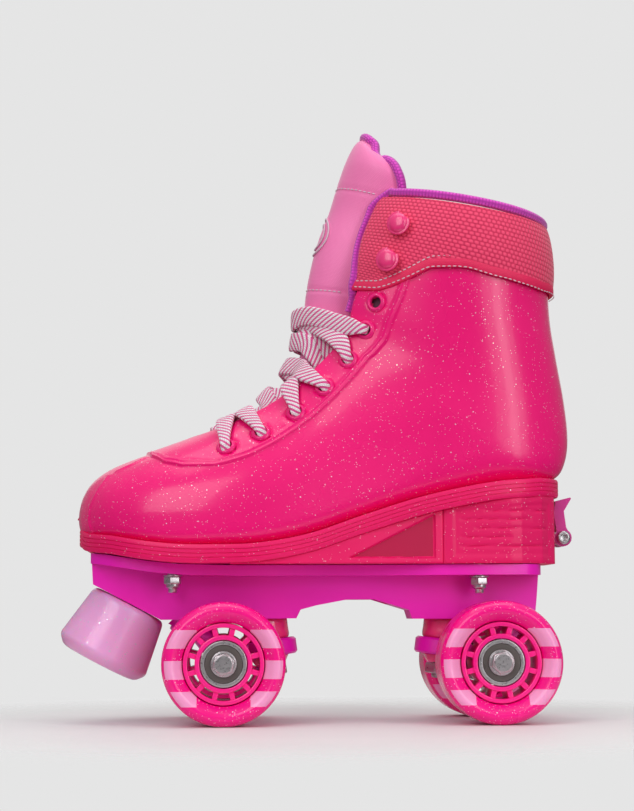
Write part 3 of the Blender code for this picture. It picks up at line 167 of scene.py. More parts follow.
def boot_surface(t, angle):
    """A point of the boot's outside at station t. The angle runs from 0 on the front profile, through a
    quarter turn where the boot is widest on the outer side, to a half turn on the back profile and on round."""
    s = curve_at(STATIONS, t)
    ix, iz, ox, oz, width, lean, widest, front, back = np.moveaxis(s, -1, 0)
    sine, cosine = np.sin(angle), np.cos(angle)
    ahead = cosine > 0
    power = 2 / np.where(ahead, front, back)
    reach = np.abs(cosine) ** power
    along = np.where(ahead, widest * (1 - reach), widest + (1 - widest) * reach)
    side = -np.sign(sine) * np.maximum(width, 0) * np.abs(sine) ** power + lean
    return np.stack([ix + (ox - ix) * along, side, iz + (oz - iz) * along], -1)


def boot_normal(t, angle, step=0.02):
    """The boot surface's outward direction; it points ahead at the nose, where the sections shrink away."""
    t, angle = np.broadcast_arrays(np.asarray(t, float), np.asarray(angle, float))
    along = boot_surface(np.minimum(t + step, TOP), angle) - boot_surface(np.maximum(t - step, 0), angle)
    round_ = boot_surface(t, angle + step) - boot_surface(t, angle - step)
    normal = np.cross(round_, along)
    size = np.linalg.norm(normal, axis=-1, keepdims=True)
    normal = np.where(size > 1e-9, normal / np.maximum(size, 1e-9), (-1.0, 0.0, 0.0))
    nose = np.clip(1 - t / 0.6, 0, 1)[..., None]
    normal = normal * (1 - nose) + np.array([-1.0, 0.0, 0.0]) * nose
    return normal / np.linalg.norm(normal, axis=-1, keepdims=True)


def boot_point(t, angle, out=0.0):
    """A point at a height above (or, negative, a depth below) the boot's outside."""
    return boot_surface(t, angle) + boot_normal(t, angle) * np.asarray(out, float)[..., None]


def throat_angle(t, wider=0.0):
    """The angle of the throat's edge at station t; wider moves it back by that many millimetres."""
    t = np.asarray(t, float)
    half = np.interp(t, THROAT[:, 0], THROAT[:, 1]) + wider
    s = curve_at(STATIONS, t)
    share = np.clip(half / np.maximum(s[..., 4], 1.0), 0, 0.98)
    return np.where(t < THROAT_START - 1e-6, 0.0, np.arcsin(share ** (s[..., 7] / 2)))


def depth_angle(t, along):
    """The angle at which a section has gone a share of its length from the front profile."""
    s = curve_at(STATIONS, t)
    return np.arccos((1 - along / s[..., 6]) ** (s[..., 7] / 2))


def tongue_frame(rows):
    """Crest point, inward direction, half width and depth of the tongue at fractional rows of its table."""
    s = curve_at(TONGUE, rows)
    ahead = curve_at(TONGUE, np.minimum(rows + 0.05, len(TONGUE) - 1))
    ahead = ahead - curve_at(TONGUE, np.maximum(rows - 0.05, 0))
    along = ahead[..., :2] / np.linalg.norm(ahead[..., :2], axis=-1, keepdims=True)
    crest = np.stack([s[..., 0], np.zeros_like(s[..., 0]), s[..., 1]], -1)
    inward = np.stack([along[..., 1], np.zeros_like(s[..., 0]), -along[..., 0]], -1)
    return crest, inward, s[..., 2], s[..., 3]


# ---------------------------------------------------------------- meshes from arrays
def put_mesh(name, points, faces, material, body=BODY, slot=None, uv=None, replaces=(), angle=40):
    """Makes one piece. points are (n, 3) millimetres, faces are rows of point numbers, and uv is (n, 2) metres
    on the surface. Coincident points are merged, faces are turned outwards, and the piece rides on its body."""
    mesh = bpy.data.meshes.new(name)
    place = (np.asarray(points, float) + (ORIGIN_X, 0.0, 0.0)) * MM
    mesh.from_pydata(place.tolist(), [], faces.tolist() if isinstance(faces, np.ndarray) else faces)
    if uv is not None:
        layer = mesh.uv_layers.new(name="Surface")
        corner = np.empty(len(mesh.loops), np.int32)
        mesh.loops.foreach_get("vertex_index", corner)
        layer.data.foreach_set("uv", np.asarray(uv, np.float32)[corner].ravel())
    clean(mesh)
    mesh.shade_smooth()
    mesh.set_sharp_from_angle(angle=math.radians(angle))
    piece = bpy.data.objects.new(name, mesh)
    bpy.context.scene.collection.objects.link(piece)
    mesh.materials.append(material)
    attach(piece, body)
    if replaces:
        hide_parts(*replaces)
    return piece


def clean(mesh):
    """Merges coincident points and turns the faces of a closed mesh outwards."""
    made = bmesh.new()
    made.from_mesh(mesh)
    bmesh.ops.remove_doubles(made, verts=made.verts, dist=2e-6)
    bmesh.ops.recalc_face_normals(made, faces=made.faces)
    made.to_mesh(mesh)
    made.free()


def quads_of(rows, columns, first=0, wrap=False):
    """Index rows of a grid's quads; wrap joins the last column to the first."""
    r, c = np.meshgrid(np.arange(rows - 1), np.arange(columns if wrap else columns - 1), indexing="ij")
    n = (c + 1) % columns
    faces = np.stack([r * columns + c, r * columns + n, (r + 1) * columns + n, (r + 1) * columns + c], -1)
    return faces.reshape(-1, 4) + first


def joined(parts):
    """One set of points, quads and uvs from several."""
    points, faces, uvs, first = [], [], [], 0
    for part in parts:
        points.append(part[0])
        faces.append(part[1] + first)
        has_uv = len(part) > 2 and part[2] is not None
        uvs.append(part[2] if has_uv else np.zeros((len(part[0]), 2)))
        first += len(part[0])
    return np.concatenate(points), np.concatenate(faces), np.concatenate(uvs)


def slab(outer, inner, uv=None, joined_rows=0):
    """A closed wall between two sheets on one grid. The first joined_rows rows already meet themselves."""
    rows, columns = outer.shape[:2]
    count = rows * columns
    points = np.concatenate([outer.reshape(-1, 3), inner.reshape(-1, 3)])
    faces = [quads_of(rows, columns), quads_of(rows, columns, count)[:, ::-1]]
    index = np.arange(count).reshape(rows, columns)
    for a, b in ((index[0, :-1], index[0, 1:]), (index[-1, 1:], index[-1, :-1]),
                 (index[joined_rows:-1, -1], index[joined_rows + 1:, -1]),
                 (index[joined_rows + 1:, 0], index[joined_rows:-1, 0])):
        faces.append(np.stack([a, b, b + count, a + count], -1))
    uvs = None if uv is None else np.concatenate([uv.reshape(-1, 2)] * 2)
    return points, np.concatenate(faces), uvs


def rounded(profile, radius, steps=4):
    """A profile with each inner corner replaced by a quadratic curve that starts and ends radius away."""
    p = np.asarray(profile, float)
    before, after = p[:-2] - p[1:-1], p[2:] - p[1:-1]
    size_b, size_a = (np.linalg.norm(v, axis=1, keepdims=True) for v in (before, after))
    reach_b, reach_a = np.minimum(radius, size_b * 0.45), np.minimum(radius, size_a * 0.45)
    start, end = p[1:-1] + before / size_b * reach_b, p[1:-1] + after / size_a * reach_a
    t = np.linspace(0, 1, steps)[None, :, None]
    curve = (1 - t) ** 2 * start[:, None] + 2 * t * (1 - t) * p[1:-1, None] + t**2 * end[:, None]
    return np.concatenate([p[:1], curve.reshape(-1, 2), p[-1:]])


def round_ring(profile, radius, steps=4):
    """The same for a profile that closes on itself, as a ring's section does."""
    p = np.asarray(profile, float)
    curve = rounded(np.concatenate([p[-1:], p, p[:1]]), radius, steps)[1:-1]
    return np.concatenate([curve, curve[:1]])


def square_ring(inner, outer, half, radius):
    """The section of a ring with flat sides and rounded corners, half its width to each side of 0."""
    return round_ring([(inner, -half), (outer, -half), (outer, half), (inner, half)], radius)


def lathe(profile, sides, axis=(0, 0, 1)):
    """A surface of revolution: a profile of (radius, height) carried round an axis through the origin. A ring's
    profile has to come back to its first point."""
    axis = np.asarray(axis, float) / np.linalg.norm(axis)
    side = np.cross(axis, (0.0, 1.0, 0.0) if abs(axis[1]) < 0.9 else (1.0, 0.0, 0.0))
    side /= np.linalg.norm(side)
    other = np.cross(axis, side)
    turn = np.linspace(0, 2 * math.pi, sides, endpoint=False)
    r, h = np.asarray(profile, float).T
    round_ = np.cos(turn)[:, None] * side + np.sin(turn)[:, None] * other
    points = h[:, None, None] * axis + r[:, None, None] * round_[None]
    length = np.concatenate([[0], np.cumsum(np.linalg.norm(np.diff(profile, axis=0), axis=1))])
    uv = np.stack(np.broadcast_arrays(turn[None] / (2 * math.pi), length[:, None] * MM), -1)
    return points.reshape(-1, 3), quads_of(len(r), sides, wrap=True), uv.reshape(-1, 2)


def swept(path, across, width, thick, sides=12, power=2.0, capped=True):
    """A section carried along a path: a superellipse as wide as width along the vectors across and as thick
    as thick at right angles to them. uv runs along the path and round the section."""
    path = np.asarray(path, float)
    n = len(path)
    tangent = np.gradient(path, axis=0)
    tangent /= np.linalg.norm(tangent, axis=1, keepdims=True)
    across = np.broadcast_to(np.asarray(across, float), path.shape)
    across = across - tangent * np.sum(across * tangent, axis=1, keepdims=True)
    across /= np.linalg.norm(across, axis=1, keepdims=True)
    up = np.cross(tangent, across)
    a = 2 * math.pi * np.arange(sides) / sides
    c, s = (np.sign(wave) * np.abs(wave) ** (2 / power) for wave in (np.cos(a), np.sin(a)))
    half_w, half_t = (np.broadcast_to(size, n)[:, None, None] / 2 for size in (width, thick))
    points = (path[:, None] + across[:, None] * half_w * c[None, :, None]
              + up[:, None] * half_t * s[None, :, None])
    length = np.concatenate([[0], np.cumsum(np.linalg.norm(np.diff(path, axis=0), axis=1))])
    uv = np.stack([np.repeat(length[:, None], sides, 1), (half_w[..., 0] * c[None])], -1) * MM
    if capped:
        points = np.concatenate([np.repeat(path[:1, None], sides, 1), points,
                                 np.repeat(path[-1:, None], sides, 1)])
        uv = np.concatenate([uv[:1], uv, uv[-1:]])
    return points.reshape(-1, 3), quads_of(len(points), sides, wrap=True), uv.reshape(-1, 2)


def closed_sweep(path, across, width, thick, sides=12):
    """The same for a path that comes back to its start."""
    n = len(path)
    wrapped = np.concatenate([path[-3:], path, path[:4]])
    wide = np.concatenate([across[-3:], across, across[:4]])
    points, _, uv = swept(wrapped, wide, width, thick, sides, capped=False)
    points, uv = points.reshape(-1, sides, 3)[3:n + 4], uv.reshape(-1, sides, 2)[3:n + 4]
    return points.reshape(-1, 3), quads_of(n + 1, sides, wrap=True), uv.reshape(-1, 2)


def block(outline, low, high, edge, axis="Y"):
    """A prism of a closed outline between two heights, its two rims rounded by a quarter turn of radius edge.
    Each rim is a row of outlines drawn in along their own normals; each end is closed by one face."""
    outline = np.asarray(outline, float)
    ahead, behind = np.roll(outline, -1, 0), np.roll(outline, 1, 0)
    area = np.sum(outline[:, 0] * ahead[:, 1] - ahead[:, 0] * outline[:, 1])
    t0, t1 = outline - behind, ahead - outline
    t0, t1 = t0 / np.linalg.norm(t0, axis=1, keepdims=True), t1 / np.linalg.norm(t1, axis=1, keepdims=True)
    normal = np.stack([-(t0 + t1)[:, 1], (t0 + t1)[:, 0]], 1) * np.sign(area)
    normal /= np.linalg.norm(normal, axis=1, keepdims=True)
    normal /= np.clip(np.abs(np.sum(normal * np.stack([-t0[:, 1], t0[:, 0]], 1), axis=1, keepdims=True)),
                      0.35, 1)
    turn = np.linspace(0, math.pi / 2, 4)
    drawn, raised = edge - edge * np.sin(turn), edge * (1 - np.cos(turn))
    rings = [(outline + normal * d, low + e) for d, e in zip(drawn, raised)]
    rings += [(outline + normal * d, high - e) for d, e in zip(drawn[::-1], raised[::-1])]
    rows = [np.concatenate([p, np.full((len(p), 1), h)], 1) for p, h in rings]
    n = len(outline)
    points = np.concatenate(rows)
    faces = quads_of(len(rows), n, wrap=True).tolist()
    faces += [list(range(n))[::-1], list(range((len(rows) - 1) * n, len(rows) * n))]
    order = {"Z": [0, 1, 2], "Y": [0, 2, 1], "X": [2, 0, 1]}[axis]
    return points[:, order], faces


def placed(points, origin, tilt=0.0):
    """Points turned about Y by tilt and moved to origin."""
    c, s = math.cos(tilt), math.sin(tilt)
    x, y, z = np.asarray(points, float).T
    return np.stack([x * c + z * s, y, -x * s + z * c], 1) + origin


def blocks(parts):
    """Several (points, faces) solids with mixed faces as one."""
    points, faces, first = [], [], 0
    for p, f in parts:
        points.append(p)
        faces += [[i + first for i in face] for face in (f.tolist() if isinstance(f, np.ndarray) else f)]
        first += len(p)
    return np.concatenate(points), faces


def circle(radius, sides, turn=0.0):
    """Points of a regular outline about the origin."""
    a = turn + 2 * math.pi * np.arange(sides) / sides
    return np.stack([radius * np.cos(a), radius * np.sin(a)], 1)


def hexagon(flats, turn=0.0):
    """A hexagon by its width across the flats."""
    return circle(flats / math.sqrt(3), 6, turn)


# ---------------------------------------------------------------- finishes
def feed(tree, socket, value):
    """Links a socket to another or gives it a plain value."""
    if isinstance(value, bpy.types.NodeSocket):
        tree.links.new(value, socket)
    else:
        socket.default_value = value


def node(tree, kind, links=None, **values):
    """Adds a shader node; links feed its sockets by name or number, values set its properties."""
    made = tree.nodes.new(kind)
    for key, value in values.items():
        setattr(made, key, value)
    for key, value in (links or {}).items():
        feed(tree, made.inputs[key], value)
    return made


def maths(tree, operation, *values):
    """The result of one sum in a shader."""
    made = node(tree, "ShaderNodeMath", operation=operation)
    for socket, value in zip(made.inputs, values):
        feed(tree, socket, value)
    return made.outputs[0]


def mixed(tree, share, a, b):
    """Colour a mixed towards colour b."""
    return node(tree, "ShaderNodeMix", {0: share, 6: a, 7: b}, data_type="RGBA").outputs[2]


def group(name, inputs, outputs):
    """An empty node group with its sockets. inputs are (name, type, default)."""
    tree = bpy.data.node_groups.new(name, "ShaderNodeTree")
    for label, kind, default in inputs:
        socket = tree.interface.new_socket(label, in_out="INPUT", socket_type=kind)
        if default is not None:
            socket.default_value = default
    for label, kind in outputs:
        tree.interface.new_socket(label, in_out="OUTPUT", socket_type=kind)
    return tree, tree.nodes.new("NodeGroupInput").outputs, tree.nodes.new("NodeGroupOutput").inputs


FLOAT, COLOUR, VECTOR = "NodeSocketFloat", "NodeSocketColor", "NodeSocketVector"


def make_glitter():
    """Flakes: two sizes of cells, of which a chosen share, picked at random, shows the flake's colour."""
    tree, given, out = group("Glitter",
                             [("Vector", VECTOR, None), ("Base", COLOUR, None), ("Flake", COLOUR, None),
                                         ("Fineness", FLOAT, 1400.0), ("Share", FLOAT, 0.05)],
                                         [("Color", COLOUR), ("Mask", FLOAT)])
    masks = []
    for factor, share in ((1.0, 1.0), (0.55, 0.28)):
        cells = node(tree, "ShaderNodeTexVoronoi",
                     {"Vector": given["Vector"], "Scale": maths(tree, "MULTIPLY", given["Fineness"], factor)})
        parts = node(tree, "ShaderNodeSeparateColor", {0: cells.outputs["Color"]})
        chosen = maths(tree, "LESS_THAN", parts.outputs[0], maths(tree, "MULTIPLY", given["Share"], share))
        core = maths(tree, "LESS_THAN", cells.outputs["Distance"], 0.42)
        bright = maths(tree, "MULTIPLY_ADD", parts.outputs[1], 0.7, 0.3)
        masks.append(maths(tree, "MULTIPLY", maths(tree, "MULTIPLY", chosen, core), bright))
    mask = maths(tree, "MAXIMUM", *masks)
    tree.links.new(mixed(tree, mask, given["Base"], given["Flake"]), out["Color"])
    tree.links.new(mask, out["Mask"])


def make_grain():
    """Moulded plastic or rubber: a fine leathery grain, slow changes of tone, and rubbed, duller patches."""
    tree, given, out = group("Moulded Grain",
                             [("Vector", VECTOR, None), ("Base", COLOUR, None), ("Fineness", FLOAT, 900.0),
                                               ("Spread", FLOAT, 0.06), ("Roughness", FLOAT, 0.4)],
                             [("Color", COLOUR), ("Roughness", FLOAT), ("Height", FLOAT)])
    fine = node(tree, "ShaderNodeTexNoise",
                {"Vector": given["Vector"], "Scale": given["Fineness"], "Detail": 2.0})
    slow = node(tree, "ShaderNodeTexNoise", {"Vector": given["Vector"], "Scale": 28.0, "Detail": 3.0})
    tone = maths(tree, "MULTIPLY_ADD", maths(tree, "SUBTRACT", slow.outputs[0], 0.5),
                 maths(tree, "MULTIPLY", given["Spread"], 4.0), 1.0)
    scaled = node(tree, "ShaderNodeVectorMath", {0: given["Base"]}, operation="SCALE")
    tree.links.new(tone, scaled.inputs["Scale"])
    tree.links.new(scaled.outputs[0], out["Color"])
    rubbed = maths(tree, "MULTIPLY_ADD", maths(tree, "SUBTRACT", slow.outputs[0], 0.5), 0.25,
                   given["Roughness"])
    tree.links.new(maths(tree, "MAXIMUM", rubbed, 0.05), out["Roughness"])
    tree.links.new(fine.outputs[0], out["Height"])


def make_weave():
    """A woven or knitted cloth on the surface's own coordinates: humps of one sine along and one across, every
    other row shifted by half a pitch."""
    tree, given, out = group("Weave",
                             [("Vector", VECTOR, None), ("Thread", COLOUR, None), ("Gap", COLOUR, None),
                                       ("Along", FLOAT, 0.0016), ("Across", FLOAT, 0.0014),
                                       ("Shift", FLOAT, 0.5), ("Contrast", FLOAT, 1.0)],
                             [("Color", COLOUR), ("Height", FLOAT)])
    parts = node(tree, "ShaderNodeSeparateXYZ", {0: given["Vector"]})
    row = maths(tree, "DIVIDE", parts.outputs[1], given["Across"])
    odd = maths(tree, "MULTIPLY", maths(tree, "MODULO", maths(tree, "FLOOR", row), 2.0), given["Shift"])
    column = maths(tree, "ADD", maths(tree, "DIVIDE", parts.outputs[0], given["Along"]), odd)
    humps = [maths(tree, "ABSOLUTE", maths(tree, "SINE", maths(tree, "MULTIPLY", v, math.pi)))
             for v in (row, column)]
    height = maths(tree, "POWER", maths(tree, "MULTIPLY", *humps), 0.7)
    share = maths(tree, "MULTIPLY_ADD", maths(tree, "SUBTRACT", height, 0.5), given["Contrast"], 0.5)
    share = maths(tree, "MINIMUM", maths(tree, "MAXIMUM", share, 0.0), 1.0)
    tree.links.new(mixed(tree, share, given["Gap"], given["Thread"]), out["Color"])
    tree.links.new(height, out["Height"])


def finish(name, roughness=0.4, **shader):
    """A new material, its tree, its Principled shader and its object coordinates. Other values go straight on
    the shader's own sockets."""
    made = bpy.data.materials.new(name)
    made.use_nodes = True
    tree = made.node_tree
    bsdf = tree.nodes["Principled BSDF"]
    bsdf.inputs["Roughness"].default_value = roughness
    for key, value in shader.items():
        bsdf.inputs[key.replace("_", " ")].default_value = value
    return made, tree, bsdf, tree.nodes.new("ShaderNodeTexCoord")


def use(tree, kind, **values):
    """Places a node group by name in a material."""
    made = tree.nodes.new("ShaderNodeGroup")
    made.node_tree = bpy.data.node_groups[kind]
    for key, value in values.items():
        feed(tree, made.inputs[key], value)
    return made.outputs


def bump(tree, bsdf, height, distance, strength):
    """Raises a material's surface by a height pattern; distance is in metres."""
    made = node(tree, "ShaderNodeBump", {"Height": height, "Distance": distance, "Strength": strength})
    tree.links.new(made.outputs[0], bsdf.inputs["Normal"])


def rgb(r, g, b):
    """An opaque colour."""
    return (r, g, b, 1.0)


def glitter_plastic(name, base, roughness, share, fineness=2300.0, flake=(1.0, 0.72, 0.85), coat=0.0,
                    **shader):
    """Glossy plastic with glitter in it under a thin grain."""
    made, tree, bsdf, coords = finish(name, roughness, **shader)
    grain = use(tree, "Moulded Grain", Vector=coords.outputs["Object"], Base=rgb(*base), Spread=0.035,
                Roughness=roughness)
    flakes = use(tree, "Glitter", Vector=coords.outputs["Object"], Base=grain["Color"], Flake=rgb(*flake),
                 Fineness=fineness, Share=share)
    tree.links.new(flakes["Color"], bsdf.inputs["Base Color"])
    tree.links.new(grain["Roughness"], bsdf.inputs["Roughness"])
    tree.links.new(maths(tree, "MULTIPLY", flakes["Mask"], 0.35), bsdf.inputs["Metallic"])
    bsdf.inputs["Coat Weight"].default_value = coat
    bsdf.inputs["Coat Roughness"].default_value = 0.12
    bump(tree, bsdf, grain["Height"], 0.00004, 0.5)
    return made


def moulded(name, base, roughness, depth=0.00006, fineness=900.0, spread=0.05, **shader):
    """Plain moulded plastic, rubber or paint."""
    made, tree, bsdf, coords = finish(name, roughness, **shader)
    grain = use(tree, "Moulded Grain", Vector=coords.outputs["Object"], Base=rgb(*base), Fineness=fineness,
                Spread=spread, Roughness=roughness)
    tree.links.new(grain["Color"], bsdf.inputs["Base Color"])
    tree.links.new(grain["Roughness"], bsdf.inputs["Roughness"])
    bump(tree, bsdf, grain["Height"], depth, 0.5)
    return made


def cloth(name, thread, gap, along, across, depth, roughness=0.75, shift=0.5, contrast=1.0, **shader):
    """Woven or knitted cloth on the piece's own coordinates."""
    made, tree, bsdf, coords = finish(name, roughness, **shader)
    weave = use(tree, "Weave", Vector=coords.outputs["UV"], Thread=rgb(*thread), Gap=rgb(*gap), Along=along,
                Across=across, Shift=shift, Contrast=contrast)
    tree.links.new(weave["Color"], bsdf.inputs["Base Color"])
    bump(tree, bsdf, weave["Height"], depth, 0.8)
    return made


def make_lace_finish():
    """Flat braid: slanting stripes of white and pink across the ribbon, over a fine weave."""
    made, tree, bsdf, coords = finish("Lace Braid", 0.7, Sheen_Weight=0.3)
    parts = node(tree, "ShaderNodeSeparateXYZ", {0: coords.outputs["UV"]})
    slant = maths(tree, "ADD", parts.outputs[0], maths(tree, "MULTIPLY", parts.outputs[1], 0.8))
    wave = maths(tree, "SINE", maths(tree, "MULTIPLY", slant, 2 * math.pi / 0.0026))
    edge = maths(tree, "MULTIPLY_ADD", wave, 2.4, 0.9)
    edge = maths(tree, "MINIMUM", maths(tree, "MAXIMUM", edge, 0.0), 1.0)
    striped = mixed(tree, edge, rgb(0.86, 0.07, 0.32), rgb(0.97, 0.86, 0.92))
    weave = use(tree, "Weave", Vector=coords.outputs["UV"], Thread=rgb(1, 1, 1), Gap=rgb(0.6, 0.6, 0.6),
                Along=0.0009, Across=0.0009)
    shaded = node(tree, "ShaderNodeMix", {0: 0.5, 6: striped, 7: weave["Color"]}, data_type="RGBA",
                  blend_type="MULTIPLY")
    tree.links.new(shaded.outputs[2], bsdf.inputs["Base Color"])
    bump(tree, bsdf, maths(tree, "ADD", weave["Height"], maths(tree, "MULTIPLY", edge, 0.6)), 0.0003, 0.8)
    return made


PRINT_PITCH, PRINT_SHIFT, PRINT_SHARE = 0.0142, 0.0494, 0.6
PRINT_FROM_X, PRINT_TO_Z, PRINT_R = 0.0125, 0.0195, 0.0276


def make_tyre_finish():
    """Glittering urethane with pale bands printed level across its outer face at rest."""
    made, tree, bsdf, coords = finish("Wheel Urethane", 0.25, Coat_Weight=0.2, Coat_Roughness=0.1,
                                      Subsurface_Weight=0.1, Specular_IOR_Level=0.35)
    grain = use(tree, "Moulded Grain", Vector=coords.outputs["Object"], Base=rgb(0.95, 0.002, 0.24),
                Spread=0.03, Roughness=0.25)
    flakes = use(tree, "Glitter", Vector=coords.outputs["Object"], Base=grain["Color"],
                 Flake=rgb(1.0, 0.6, 0.8), Fineness=2000.0, Share=0.05)
    place = node(tree, "ShaderNodeSeparateXYZ", {0: coords.outputs["UV"]})
    row = maths(tree, "FRACT",
                maths(tree, "DIVIDE", maths(tree, "ADD", place.outputs[1], PRINT_SHIFT), PRINT_PITCH))
    level = maths(tree, "LESS_THAN", row, PRINT_SHARE)
    sides = maths(tree, "GREATER_THAN", maths(tree, "ABSOLUTE", place.outputs[0]), PRINT_FROM_X)
    low = maths(tree, "LESS_THAN", maths(tree, "ABSOLUTE", place.outputs[1]), PRINT_TO_Z)
    radius = node(tree, "ShaderNodeVectorMath", {0: coords.outputs["UV"]}, operation="LENGTH")
    face = maths(tree, "LESS_THAN", radius.outputs["Value"], PRINT_R)
    print_ = maths(tree, "MULTIPLY", maths(tree, "MULTIPLY", level, sides),
                   maths(tree, "MULTIPLY", low, face))
    banded = mixed(tree, print_, flakes["Color"], rgb(0.95, 0.33, 0.60))
    tree.links.new(banded, bsdf.inputs["Base Color"])
    tree.links.new(grain["Roughness"], bsdf.inputs["Roughness"])
    return made


def make_brushed(name, base, roughness, scale=(1, 1, 1)):
    """Machined steel: streaked noise in roughness and a faint bump."""
    made, tree, bsdf, coords = finish(name, roughness, Metallic=1.0, Anisotropic=0.2)
    mapping = node(tree, "ShaderNodeMapping", {"Vector": coords.outputs["Object"], "Scale": scale})
    noise = node(tree, "ShaderNodeTexNoise", {"Vector": mapping.outputs[0], "Scale": 900.0, "Detail": 2.0})
    tree.links.new(maths(tree, "MULTIPLY_ADD", noise.outputs[0], 0.25, roughness - 0.1),
                   bsdf.inputs["Roughness"])
    tree.links.new(mixed(tree, noise.outputs[0], rgb(*(c * 0.8 for c in base)), rgb(*base)),
                   bsdf.inputs["Base Color"])
    bump(tree, bsdf, noise.outputs[0], 0.00003, 0.4)
    return made


FINISH = {}


def make_finishes():
    """Every finish of the skate; the panel's three colours are read here."""
    sizes = bpy.context.scene.skate_sizes
    make_glitter()
    make_grain()
    make_weave()
    FINISH.update(
        boot=glitter_plastic("Boot Plastic", tuple(sizes.boot_colour), 0.27, 0.03, coat=0.25,
                             Specular_IOR_Level=0.3),
        eyelet=glitter_plastic("Eyelet Plastic", (0.84, 0.008, 0.19), 0.3, 0.015, coat=0.2,
                               Specular_IOR_Level=0.3),
        sole=glitter_plastic("Sole Rim", (0.84, 0.004, 0.13), 0.4, 0.02, Specular_IOR_Level=0.3),
        # the waist windows' darker panel: painted shade in the recess, in the sole's own hue
        waist=moulded("Waist Window Painted Shade", (0.50, 0.0, 0.062), 0.5, Specular_IOR_Level=0.3),
        heel=glitter_plastic("Heel Block", (0.80, 0.005, 0.125), 0.42, 0.02, Specular_IOR_Level=0.3),
        plate=moulded("Plate Nylon", tuple(sizes.plate_colour), 0.42, 0.00008, 1100.0),
        core=moulded("Wheel Core", tuple(sizes.core_colour), 0.3, Coat_Weight=0.3),
        hanger=moulded("Hanger Enamel", (0.78, 0.002, 0.42), 0.35),
        lever=moulded("Lever Plastic", (0.62, 0.03, 0.28), 0.3, Coat_Weight=0.3),
        hook=moulded("Hook Plastic", (0.90, 0.035, 0.21), 0.28, Coat_Weight=0.4),
        stop=glitter_plastic("Stop Rubber", (1.0, 0.42, 0.76), 0.22, 0.05, 1500.0, (1, 0.9, 0.95),
                             Subsurface_Weight=0.45,
                             Transmission_Weight=0.12),
        cushion=moulded("Cushion Rubber", (1.0, 0.03, 0.20), 0.2, 0.00002, Subsurface_Weight=0.3,
                        Coat_Weight=0.3),
        pivot=moulded("Pivot Rubber", (0.10, 0.02, 0.06), 0.6),
        tyre=make_tyre_finish(),
        lace=make_lace_finish(),
        satin=cloth("Tongue Satin", (1.0, 0.24, 0.54), (0.94, 0.16, 0.44), 0.0006, 0.0006, 0.00005, 0.45,
                    Sheen_Weight=0.4),
        knit=cloth("Binding Knit", (0.84, 0.06, 0.62), (0.42, 0.015, 0.32), 0.0016, 0.0011, 0.0003, 0.85,
                   Sheen_Weight=0.4),
        mesh=cloth("Cuff Weave", (1.0, 0.06, 0.18), (0.70, 0.002, 0.08), 0.0019, 0.00115, 0.00035, 0.6,
                   contrast=1.7, Sheen_Weight=0.3),
        strip=cloth("Binding Strip", (0.88, 0.008, 0.11), (0.78, 0.004, 0.09), 0.0008, 0.0008, 0.00008, 0.5),
        lining=cloth("Lining Knit", (0.42, 0.03, 0.34), (0.22, 0.01, 0.17), 0.002, 0.002, 0.0003, 0.9),
        thread=cloth("White Thread", (0.92, 0.80, 0.86), (0.7, 0.5, 0.6), 0.0006, 0.0006, 0.00005, 0.6),
        steel=make_brushed("Bright Steel", (0.58, 0.55, 0.57), 0.28),
        zinc=make_brushed("Zinc Plate", (0.42, 0.40, 0.42), 0.36),
        seal=moulded("Bearing Seal", (0.10, 0.085, 0.08), 0.3),
    )


# ---------------------------------------------------------------- the boot
# station and angle of the lacing panel's edge; angle and station of the toe cap's seam
SEAM = np.array([(5.1, -1.2), (5.35, 0.0), (5.56, 0.455), (5.91, 0.735), (6.40, 0.884), (7.31, 1.008),
                 (8.2, 1.027), (8.81, 1.014),
                 (9.74, 1.008), (10.82, 0.996), (12.0, 0.95), (12.82, 0.927), (14.6, 0.965), (16.37, 1.027),
                 (18.38, 1.145), (21.0, 1.2)])
TOE_SEAM = np.array([(0.362, 5.49), (0.492, 4.91), (0.604, 3.99), (0.927, 3.39), (1.263, 2.87), (1.543, 2.76),
                     (2.102, 3.01),
                     (3.2, 3.3)])
SOLE_LINE = curve_at(STATIONS, np.linspace(1.5, 13.0, 120))[:, 2:4]


def seam_height(x):
    """Height of the sole's top: just under the lowest line of the boot."""
    return np.interp(x, SOLE_LINE[:, 0], SOLE_LINE[:, 1]) - GAP - 0.5


def plate_top(x):
    """The plate lies flat and curls up under the sole towards the nose."""
    x = np.asarray(x, float)
    return np.where(x < -60.0, np.minimum(seam_height(x) - SOLE_T - GAP, PLATE_TOP + 10), PLATE_TOP)


def smooth(x):
    """0 below 0, 1 above 1, and a smooth cubic between."""
    x = np.clip(x, 0, 1)
    return x * x * (3 - 2 * x)


def reaches(t, angle):
    """Millimetres on the surface for one station and for one radian."""
    a = boot_surface(np.minimum(t + 0.02, TOP), angle) - boot_surface(np.maximum(t - 0.02, 0), angle)
    b = boot_surface(t, angle + 0.01) - boot_surface(t, angle - 0.01)
    per_t, per_a = np.linalg.norm(a, axis=-1) / 0.04, np.linalg.norm(b, axis=-1) / 0.02
    return np.maximum(per_t, 1e-3), np.maximum(per_a, 1e-3)


